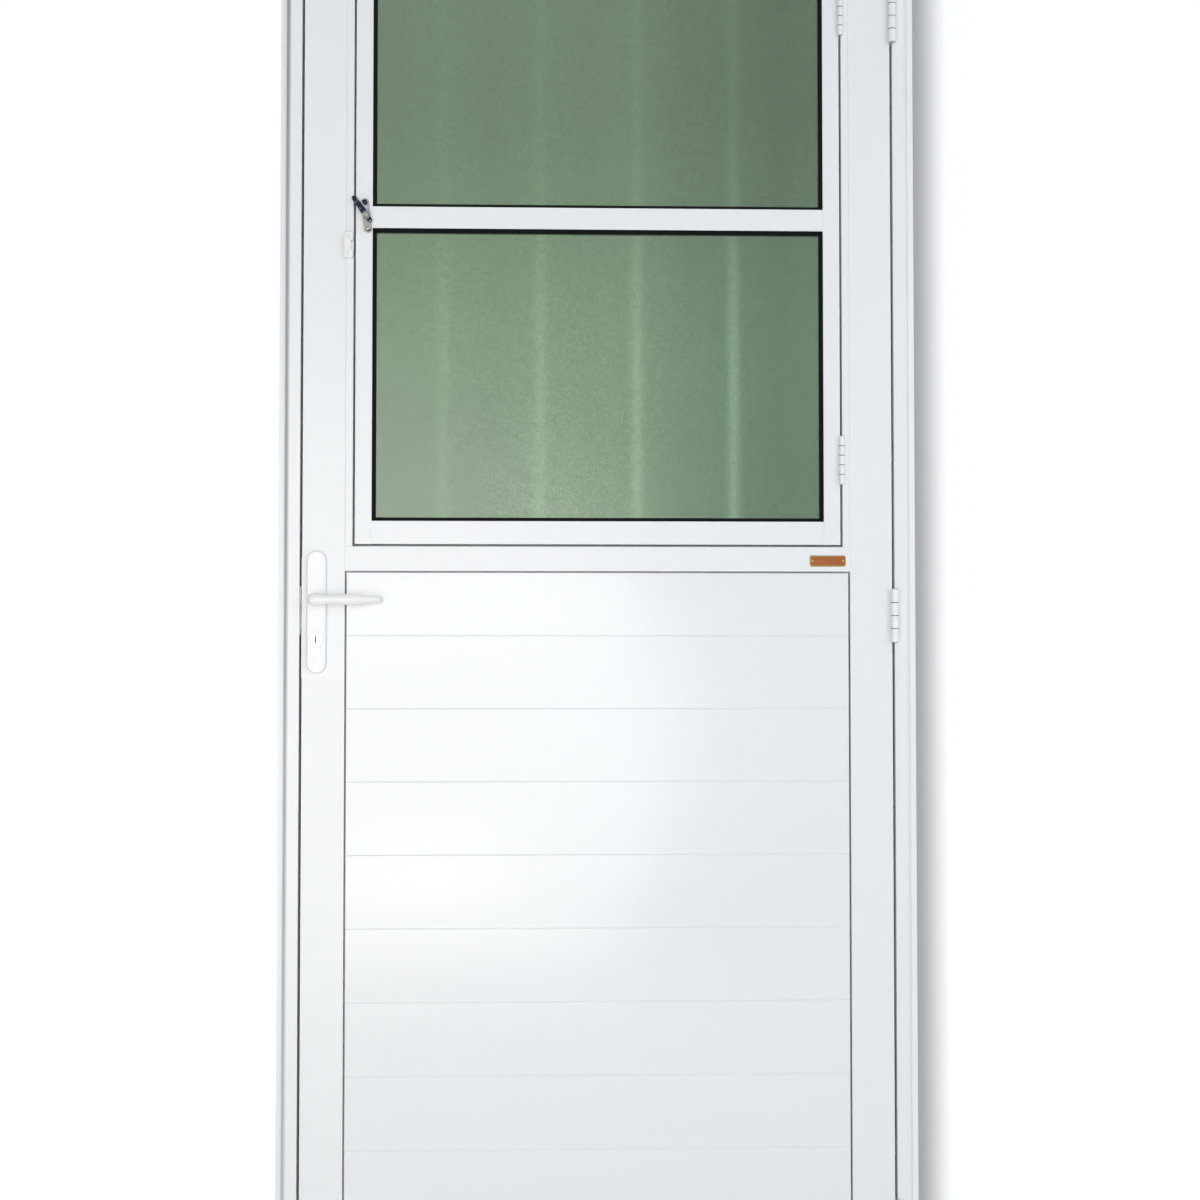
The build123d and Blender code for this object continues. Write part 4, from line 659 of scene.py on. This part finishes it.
class DOOR_OT_paint_frame(bpy.types.Operator):
    """Powder-coat the jambs and head, and leave the threshold in brushed aluminium"""

    bl_idname = "door.paint_frame"
    bl_label = "Paint Frame"

    def execute(self, context):
        paint = context.scene.door_paint
        metal = context.scene.door_metal
        coat = coat_material("frame_coat", paint.colour, paint.roughness, paint)
        # Paints shade into the coat's colour in the corner beside the flange
        self.corner_shade(coat, paint)
        finish(coat, "jamb_left", "jamb_right", "frame_head")
        sill = metal_material("sill_aluminium", metal.aluminium, roughness=0.34, lines=BRUSHED)
        finish(sill, "threshold")
        return {"FINISHED"}

    def corner_shade(self, material, paint):
        """Painted shade in the corner beside the set-back flange, by the distance in from the
        frame's outline. It sets in over a quarter of the reach before the flange's width, is full
        for half the reach and gone at the whole of it. It thins out downwards and away from the
        lock side."""
        tree = material.node_tree
        base = tree.nodes["Principled BSDF"].inputs["Base Color"]
        vector = object_vector(tree)
        place = axes(tree, vector)
        side = math_node(tree, "SUBTRACT", cad_box[1].x, math_node(tree, "ABSOLUTE", place["X"]))
        head = math_node(tree, "SUBTRACT", cad_box[1].z, place["Z"])
        inward = math_node(tree, "MINIMUM", side, head)
        flange, reach = paint.flange_width, paint.shade_reach
        setting_in = map_range(tree, inward, flange - reach / 4, flange, 0.0, 1.0)
        dying_out = map_range(tree, inward, flange + reach / 2, flange + reach, 1.0, 0.0)
        downwards = map_range(tree, place["Z"], 0.0, cad_box[1].z, 0.4, 1.0)
        sideways = map_range(tree, place["X"], cad_box[0].x, cad_box[1].x, 1.0, 0.08)
        patches = noise(tree, vector, 9.0, detail=3.0)
        patches = math_node(tree, "MULTIPLY_ADD", patches, 0.3, 0.7)
        share = setting_in
        for factor in (dying_out, downwards, sideways, patches, paint.shade_depth):
            share = multiply(tree, share, factor)
        coat = base.links[0].from_socket
        # Mixes the painted shade into the coat's colour
        tree.links.new(mix_colour(tree, share, coat, opaque(paint.dust_and_shade)), base)


class DOOR_OT_paint_leaf(bpy.types.Operator):
    """Powder-coat the stiles, rails, linings and crowned boards of the leaf"""

    bl_idname = "door.paint_leaf"
    bl_label = "Paint Leaf"

    def execute(self, context):
        paint = context.scene.door_paint
        coat = coat_material("leaf_coat", paint.colour, paint.roughness, paint)
        finish(coat, *named("stile_", "rail_", "lining_"))
        boards = coat_material(
            "board_coat", paint.colour, paint.board_roughness, paint, crowned=True
        )
        finish(boards, *named("board_"))
        return {"FINISHED"}


class DOOR_OT_glaze_sash(bpy.types.Operator):
    """Powder-coat the sash, and give the panes their green obscure glass"""

    bl_idname = "door.glaze_sash"
    bl_label = "Glaze Sash"

    def execute(self, context):
        paint = context.scene.door_paint
        coat = coat_material("sash_coat", paint.colour, paint.roughness, paint)
        finish(coat, *named("sash_stile", "sash_rail"), "glazing_bar")
        panes = glass_material("obscure_glass", context.scene.door_glass)
        finish(panes, "glass_upper", "glass_lower")
        return {"FINISHED"}


class DOOR_OT_lay_rubber(bpy.types.Operator):
    """Give the frame seal and the glazing channels their black rubber"""

    bl_idname = "door.lay_rubber"
    bl_label = "Lay Rubber"

    def execute(self, context):
        rubber = rubber_material("black_rubber", context.scene.door_glass.rubber)
        finish(rubber, "frame_seal", "gasket_upper", "gasket_lower")
        return {"FINISHED"}


class DOOR_OT_finish_hinges(bpy.types.Operator):
    """Coat the door and sash hinges, plate their pins, and paint the shade of the gaps between
    their knuckles as dark bands
    """

    bl_idname = "door.finish_hinges"
    bl_label = "Finish Hinges"

    def execute(self, context):
        paint = context.scene.door_paint
        metal = context.scene.door_metal
        coat = coat_material("hinge_coat", paint.furniture_colour, 0.26, paint)
        pins = named("door_hinge_pins", "sash_hinge_pins")
        finish(coat, *(name for name in named("door_hinge", "sash_hinge") if name not in pins))
        finish(metal_material("pin_steel", metal.steel, roughness=0.3, lines=PLATED), *pins)
        # Painted shade: the dark bands stand for the shaded gaps between the knuckles
        gap_shade_material = rubber_material("dark_grease", (0.012, 0.011, 0.01))
        hinges = (
            ("door_hinge", "frame", "leaf", 4, "leaf_swing"),
            ("sash_hinge", "leaf", "sash", 5, "sash_swing"),
        )
        for kind, body, moving, knuckles, joint in hinges:
            axis = JOINT_PLACES[joint]
            for plate in named(f"{kind}_{body}_"):
                low, high = self.knuckle_span(plate, plate.replace(f"_{body}_", f"_{moving}_"))
                radius = axis[1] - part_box(plate)[0].y + paint.knuckle_line / 8
                lines = self.knuckle_lines(axis, low, high, knuckles, radius, paint.knuckle_line)
                piece = bands(plate.replace(f"_{body}_", "_lines_"), lines, body)
                piece.data.materials.append(gap_shade_material)
        return {"FINISHED"}

    def knuckle_span(self, plate, other):
        """Lowest and highest point of a hinge, over the plates of its two sides."""
        low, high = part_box(plate)
        other_low, other_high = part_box(other)
        return min(low.z, other_low.z), max(high.z, other_high.z)

    def knuckle_lines(self, axis, low, high, knuckles, radius, width, columns=40):
        """Bands round the hinge's axis where one knuckle meets the next: the span is cut into as
        many equal knuckles as there are, and each band is a flat ring at one cut. Their dark
        colour is painted shade of the gaps between the knuckles."""
        heights = low + (high - low) * np.arange(1, knuckles) / knuckles
        turn = np.linspace(0, 2 * math.pi, columns, endpoint=False)
        inner = 0.8 * radius
        out = np.array([radius, radius, inner, inner])[None, :, None]
        up = np.array([-0.5, 0.5, 0.5, -0.5])[None, :, None] * width
        x = axis[0] + out * np.cos(turn)[None, None, :]
        y = axis[1] + out * np.sin(turn)[None, None, :]
        z = heights[:, None, None] + up
        return np.stack(np.broadcast_arrays(x, y, z), axis=-1)


class DOOR_OT_finish_lock(bpy.types.Operator):
    """Coat the plates and levers, and finish the lock, its cylinder, bolts and screws"""

    bl_idname = "door.finish_lock"
    bl_label = "Finish Lock"

    def execute(self, context):
        paint = context.scene.door_paint
        metal = context.scene.door_metal
        coat = coat_material("furniture_coat", paint.furniture_colour, 0.22, paint)
        finish(coat, "plate_outside", "plate_inside", "lever_outside", "lever_inside", "keeper")
        steel = metal_material("zinc_steel", metal.steel, roughness=0.3, lines=ZINCED)
        finish(steel, "strike_plate", "lock_case", "spindle", "latch_bolt", "deadbolt")
        finish(steel, *named("frame_screws", "leaf_screws", "plate_screws"))
        finish(cylinder_material("cylinder_nickel", metal), "lock_cylinder")
        plug = cylinder_material("plug_nickel", metal, JOINT_PLACES["cylinder_turn"])
        finish(plug, "cylinder_plug")
        return {"FINISHED"}


class DOOR_OT_fit_fastener(bpy.types.Operator):
    """Finish the sash fastener and add its two lens screws and cap ring"""

    bl_idname = "door.fit_fastener"
    bl_label = "Fit Fastener"

    def execute(self, context):
        fastener = context.scene.door_fastener
        metal = context.scene.door_metal
        dulled = [0.6 * part for part in metal.chrome]
        # The lever and upper screw get painted dark reflection between the chrome's handling marks
        dark = metal_material("dark_chrome", metal.chrome, 0.2, POLISHED, dark=metal.dark_chrome)
        bright = metal_material("bright_chrome", metal.chrome, roughness=0.14, lines=POLISHED)
        pewter = metal_material("pewter_chrome", dulled, roughness=0.24, lines=CAST)
        finish(dark, "fastener_lever")
        finish(pewter, "fastener_base")
        pivot = JOINT_PLACES["fastener_turn"]
        for name, side, turned, look in (("upper", 1, 0.4, dark), ("lower", -1, 1.1, pewter)):
            rings = lens_screw_rings(
                fastener.screw_radius, fastener.screw_rise, 2 * SEAT, turned, fastener.columns
            )
            reach = side * fastener.screw_reach
            place = (
                pivot[0] - reach * math.sin(fastener.tilt),
                BASE_FACE,
                pivot[2] + reach * math.cos(fastener.tilt),
            )
            screw = skin(f"fastener_screw_{name}", rings + np.array(place), "sash")
            screw.data.materials.append(look)
        inner, outer, rise = fastener.cap_inner, fastener.cap_outer, fastener.cap_rise
        profile = [
            (inner, -SEAT),
            (inner, 0.7 * rise),
            (inner + 0.2 * (outer - inner), rise),
            (inner + 0.7 * (outer - inner), rise),
            (outer, 0.6 * rise),
            (outer, -SEAT),
        ]
        rings = turned_rings(profile, fastener.columns) + np.array((pivot[0], LEVER_FACE, pivot[2]))
        cap = bands("fastener_cap", rings[None], "fastener")
        cap.data.materials.append(bright)
        return {"FINISHED"}


class DOOR_OT_rivet_plate(bpy.types.Operator):
    """Rivet the bare plate to the middle rail"""

    bl_idname = "door.rivet_plate"
    bl_label = "Rivet Plate"

    def execute(self, context):
        plate = context.scene.door_plate
        middle = (RAIL_LOW.z + RAIL_HIGH.z) / 2 - PLATE_DROP
        place = np.array((RAIL_HIGH.x - plate.from_end, RAIL_LOW.y, middle))
        rings, field = self.plate_rings(plate)
        piece = skin("name_plate", rings + place, "leaf", [("field", field)])
        piece.data.materials.append(plate_material("plate_metal", plate))
        brass = metal_material("rivet_brass", plate.rivet_colour, roughness=0.3, lines=POLISHED)
        dome = turned_rings(self.dome_profile(plate.rivet), 32)
        for name, side in (("left", -1), ("right", 1)):
            across = side * (plate.width / 2 - RIVET_INSET)
            centre = place + (across, -(plate.thickness - plate.sink), 0.0)
            rivet = skin(f"plate_rivet_{name}", dome + centre, "leaf")
            rivet.data.materials.append(brass)
        return {"FINISHED"}

    def plate_rings(self, plate):
        """Rings of the plate from its foot over the rim into the field, each drawn in by an inset
        and set at a height out of the rail, and one at every point of the sunk field."""
        half = plate.height / 2
        top, sunk = plate.thickness, plate.thickness - plate.sink
        steps = [
            (0.0, -SEAT, 0.0),
            (0.0, top - EDGE_BEVEL, 0.0),
            (EDGE_BEVEL, top, 0.0),
            (plate.rim, top, 0.0),
            (plate.rim + EDGE_BEVEL, sunk, 1.0),
            (0.5 * half, sunk, 1.0),
            (0.9 * half, sunk, 1.0),
        ]
        outline = plate.width, plate.height, plate.corner
        rings = np.stack([rounded_rectangle(*outline, inset, rise) for inset, rise, _ in steps])
        field = np.array([in_field for _, _, in_field in steps])
        return rings, np.broadcast_to(field[:, None], rings.shape[:2])

    def dome_profile(self, radius, rows=10):
        """Profile of a rivet's dome: half the radius times the root of one less the squared share
        of the radius."""
        share = np.linspace(1.0, 0.04, rows)
        rise = radius * 0.5 * np.sqrt(1 - share * share)
        return [(radius, -SEAT), *zip(radius * share, rise)]


DOOR_MIDDLE = (0.0, 0.0, 1.05)
WARM_WHITE = (1.0, 0.975, 0.92)

# Place, target, size, level on an upright face, colour, and height if it isn't the size
LAMPS = {
    "fill_right": ((2.3, -3.2, 2.0), DOOR_MIDDLE, 1.8, 0.13, (0.68, 0.82, 1.0)),
    "high_left": ((-0.45, -3.0, 1.15), (-0.2, 0.0, 1.05), 1.2, 0.011, WARM_WHITE, 0.35),
    "low_left": ((-0.42, -2.75, 0.34), (-0.25, 0.0, 0.65), 0.5, 0.009, WARM_WHITE, 0.16),
    "rear_left": ((-1.8, 3.1, 2.2), DOOR_MIDDLE, 1.6, 0.26, (1.0, 0.99, 0.97)),
    "rear_right": ((2.0, 2.9, 1.9), DOOR_MIDDLE, 1.6, 0.16, (0.92, 0.96, 1.0)),
}

# The painted ribbed sheet behind the panes, a glowing card: rib to rib, the first rib, and how far
# back and out it stands
RIB_PITCH = 0.137
RIB_SHIFT = 0.218
SHEET_BACK = 0.045
SHEET_MARGIN = 0.1

# The white card: its gap behind the jamb, and how far past the frame stand its near side, the
# end of its darkest painted shadow, the end of its painted shadow and its far side
CARD_GAP = 0.002
CARD_NEAR, CARD_DARK, CARD_WHITE, CARD_FAR = 0.0005, 0.014, 0.066, 0.085


class DOOR_OT_set_stage(bpy.types.Operator):
    """Set the floor, the white card behind the frame, the lamps, the world and the camera"""

    bl_idname = "door.set_stage"
    bl_label = "Set Stage"

    def execute(self, context):
        scene = context.scene
        stage = scene.door_stage
        scene.view_settings.view_transform = "Standard"
        self.floor(stage)
        self.shadow_card()
        self.view_card()
        self.world(scene, stage)
        key_white = (1.0, 0.985, 0.955)
        self.lamp("key_left", (-0.7, -3.1, 0.75), (0.0, 0.0, 0.85), 2.2, stage.key_level, key_white)
        for name, values in LAMPS.items():
            self.lamp(name, *values)
        lens = bpy.data.cameras.new("photo_camera")
        lens.lens = stage.lens
        lens.sensor_width = 36.0
        lens.clip_start = 0.01
        camera = bpy.data.objects.new("photo_camera", lens)
        camera.location = stage.camera_place
        camera.rotation_euler = (math.pi / 2 + stage.pitch, 0.0, -stage.yaw)
        scene.collection.objects.link(camera)
        scene.camera = camera
        return {"FINISHED"}

    def lamp(self, name, place, target, size, level, colour, height=None):
        """An area lamp whose power gives the level on an upright face: pi squared times the
        squared distance times the level, over the cosine of its angle to that face."""
        reach = Vector(target) - Vector(place)
        light = bpy.data.lights.new(name, "AREA")
        light.shape = "RECTANGLE" if height else "DISK"
        light.size = size
        light.size_y = height or size
        light.color = colour
        light.energy = math.pi**2 * reach.length_squared * level * reach.length / abs(reach.y)
        lamp = bpy.data.objects.new(name, light)
        lamp.location = place
        lamp.rotation_euler = reach.to_track_quat("-Z", "Y").to_euler()
        lamp.visible_transmission = False
        bpy.context.scene.collection.objects.link(lamp)

    def plane(self, name, points, material):
        """A stage face through four corners."""
        mesh = bpy.data.meshes.new(name)
        mesh.from_pydata(points, [], [(0, 1, 2, 3)])
        mesh.materials.append(material)
        piece = bpy.data.objects.new(name, mesh)
        bpy.context.scene.collection.objects.link(piece)

    def card(self, name, material, shown, sides, back, ends, share=1.0):
        """An upright card between two sides and two ends: clear from behind, and from the front
        it shows its shader by a share."""
        tree = material.node_tree
        geometry = tree.nodes.new("ShaderNodeNewGeometry")
        front = math_node(tree, "SUBTRACT", 1.0, geometry.outputs["Backfacing"])
        clear = shader_node(tree, "ShaderNodeBsdfTransparent")
        mixed = shader_node(tree, "ShaderNodeMixShader", multiply(tree, front, share), clear, shown)
        output = tree.nodes.new("ShaderNodeOutputMaterial")
        tree.links.new(mixed, output.inputs["Surface"])
        (left, right), (low, high) = sides, ends
        corners = [(left, back, low), (right, back, low), (right, back, high), (left, back, high)]
        self.plane(name, corners, material)

    def floor(self, stage):
        """A pale floor with faint patches. Where the camera sees it, a glow that grows with the
        distance from the door carries it over into the white background."""
        material, tree, shader = new_material("pale_floor", specular_ior_level=0.2, roughness=0.7)
        vector = object_vector(tree)
        patches = multiply(tree, noise(tree, vector, 1.5, detail=4.0), 0.05)
        tone = mix_colour(tree, patches, opaque(stage.floor_colour), (0.7, 0.7, 0.69, 1))
        tree.links.new(tone, shader.inputs["Base Color"])
        away = tree.nodes.new("ShaderNodeVectorMath")
        away.operation = "LENGTH"
        tree.links.new(vector, away.inputs[0])
        level = map_range(tree, away.outputs["Value"], 0.5, 2.4, 0.22, 1.0)
        level = multiply(tree, ray(tree, "Camera"), level)
        glow = shader_node(tree, "ShaderNodeEmission", None, level)
        added = shader_node(tree, "ShaderNodeAddShader", shader.outputs[0], glow)
        tree.links.new(added, tree.nodes["Material Output"].inputs["Surface"])
        half = 6
        corners = [(-half, -half, 0), (half, -half, 0), (half, half, 0), (-half, half, 0)]
        self.plane("floor", corners, material)

    def view_card(self):
        """What stands behind the panes: a glowing card, painted as a ribbed sheet in half shade,
        that only the glass shows, from the front. Its painted light falls to the right and upwards,
        and in the lower left corner. A narrow painted highlight runs up each of the ribs: a cosine
        across the sheet, from none to one, raised to a high power. Between the ribs the same
        cosine, turned over, darkens it a little as painted shade."""
        material, tree = bare_material("ribbed_sheet")
        place = axes(tree, object_vector(tree))
        # Painted light and shade: the glow falls to the right, upwards and in the lower left corner
        side = map_range(tree, place["X"], -0.02, 0.26, 1.0, 0.52, smooth=True)
        height = map_range(tree, place["Z"], 1.35, 1.8, 1.0, 0.6, smooth=True)
        left = map_range(tree, place["X"], -0.25, -0.02, 1.0, 0.0, smooth=True)
        low = map_range(tree, place["Z"], 1.28, 1.46, 1.0, 0.0, smooth=True)
        # Painted highlight up each of the ribs, and painted shade between them
        turn = math_node(tree, "ADD", place["X"], RIB_SHIFT)
        turn = multiply(tree, turn, 2 * math.pi / RIB_PITCH)
        wave = math_node(tree, "MULTIPLY_ADD", math_node(tree, "COSINE", turn), 0.5, 0.5)
        rib_highlight = math_node(tree, "POWER", wave, 26.0)
        rib_highlight = multiply(tree, rib_highlight, math_node(tree, "POWER", height, 3.0))
        rib_highlight = multiply(tree, rib_highlight, math_node(tree, "MULTIPLY_ADD", place["X"], 0.9, 0.42))
        rib_shade = math_node(tree, "POWER", math_node(tree, "SUBTRACT", 1.0, wave), 3.0)
        level = math_node(tree, "ADD", rib_highlight, multiply(tree, side, height))
        level = math_node(tree, "MULTIPLY_ADD", rib_shade, -0.04, level)
        level = math_node(tree, "MULTIPLY_ADD", multiply(tree, left, low), -0.26, level)
        tint = mix_colour(tree, side, (0.84, 1.04, 1.2, 1), (1.0, 1.0, 0.98, 1))
        glow = shader_node(tree, "ShaderNodeEmission", tint, level)
        low_corner, high_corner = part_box("glass_lower")[0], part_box("glass_upper")[1]
        sides = low_corner.x - SHEET_MARGIN, high_corner.x + SHEET_MARGIN
        ends = low_corner.z - SHEET_MARGIN, high_corner.z
        back = high_corner.y + SHEET_BACK
        self.card("view_card", material, glow, sides, back, ends, ray(tree, "Transmission"))

    def shadow_card(self):
        """A white card behind the frame's right side that takes the frame's shadow, and carries a
        painted shadow too: its tone is drawn darker close to the frame. It is clear from behind."""
        material, tree = bare_material("white_card")
        edge = cad_box[1].x
        place = axes(tree, object_vector(tree))
        dark, white = edge + CARD_DARK, edge + CARD_WHITE
        # Painted shadow: the tone is darkest near the frame and fades to white further out
        fade = map_range(tree, place["X"], dark, white, 0.0, 1.0, smooth=True)
        tone = mix_colour(tree, fade, (0.44, 0.44, 0.44, 1), (0.97, 0.97, 0.97, 1))
        diffuse = shader_node(tree, "ShaderNodeBsdfDiffuse", tone)
        level = multiply(tree, ray(tree, "Camera"), 0.1)
        glow = shader_node(tree, "ShaderNodeEmission", tone, level)
        lit = shader_node(tree, "ShaderNodeAddShader", diffuse, glow)
        sides = edge + CARD_NEAR, edge + CARD_FAR
        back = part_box("jamb_right")[1].y + CARD_GAP
        self.card("shadow_card", material, lit, sides, back, (0.0, cad_box[1].z))

    def world(self, scene, stage):
        """White where the camera, a reflection or the glass looks at it, and elsewhere the even
        light, which is dimmer from the left."""
        world = bpy.data.worlds.new("soft_white")
        world.use_nodes = True
        tree = world.node_tree
        background = tree.nodes["Background"]
        background.inputs["Color"].default_value = (1, 1, 1, 1)
        seen = math_node(tree, "MAXIMUM", ray(tree, "Camera"), ray(tree, "Glossy"))
        seen = math_node(tree, "MAXIMUM", seen, ray(tree, "Transmission"))
        direction = axes(tree, object_vector(tree))["X"]
        side = map_range(tree, direction, -0.75, -0.1, stage.left_share, 1.0, smooth=True)
        strength = math_node(tree, "MAXIMUM", seen, multiply(tree, side, stage.surround))
        tree.links.new(strength, background.inputs["Strength"])
        scene.world = world


class VIEW3D_PT_panel_door(bpy.types.Panel):
    """Lists each group of the door's settings, and the operators that use it"""

    bl_idname = "VIEW3D_PT_panel_door"
    bl_label = "Panel Door"
    bl_space_type = "VIEW_3D"
    bl_region_type = "UI"
    bl_category = "Panel Door"

    def draw(self, context):
        layout = self.layout
        for name, (_, operators) in STEPS.items():
            box = layout.box()
            settings = getattr(context.scene, name)
            for setting in settings.bl_rna.properties:
                if setting.identifier not in {"rna_type", "name"}:
                    box.prop(settings, setting.identifier)
            for operator in operators:
                box.operator(operator.bl_idname)


# Each group of settings, and the operators that use it
STEPS = {
    "door_paint": (DoorPaintSettings, [DOOR_OT_paint_frame, DOOR_OT_paint_leaf]),
    "door_glass": (DoorGlassSettings, [DOOR_OT_glaze_sash, DOOR_OT_lay_rubber]),
    "door_metal": (DoorMetalSettings, [DOOR_OT_finish_hinges, DOOR_OT_finish_lock]),
    "door_fastener": (DoorFastenerSettings, [DOOR_OT_fit_fastener]),
    "door_plate": (DoorPlateSettings, [DOOR_OT_rivet_plate]),
    "door_stage": (DoorStageSettings, [DOOR_OT_set_stage]),
}

CLASSES = [cls for group, operators in STEPS.values() for cls in (group, *operators)]
CLASSES.append(VIEW3D_PT_panel_door)


def register():
    for cls in CLASSES:
        bpy.utils.register_class(cls)
    for name, (group, _) in STEPS.items():
        setattr(bpy.types.Scene, name, PointerProperty(type=group))


def unregister():
    for name in STEPS:
        delattr(bpy.types.Scene, name)
    for cls in reversed(CLASSES):
        bpy.utils.unregister_class(cls)


def main():
    register()
    bpy.ops.door.paint_frame()
    bpy.ops.door.paint_leaf()
    bpy.ops.door.glaze_sash()
    bpy.ops.door.lay_rubber()
    bpy.ops.door.finish_hinges()
    bpy.ops.door.finish_lock()
    bpy.ops.door.fit_fastener()
    bpy.ops.door.rivet_plate()
    bpy.ops.door.set_stage()


if __name__ == "__main__":
    main()
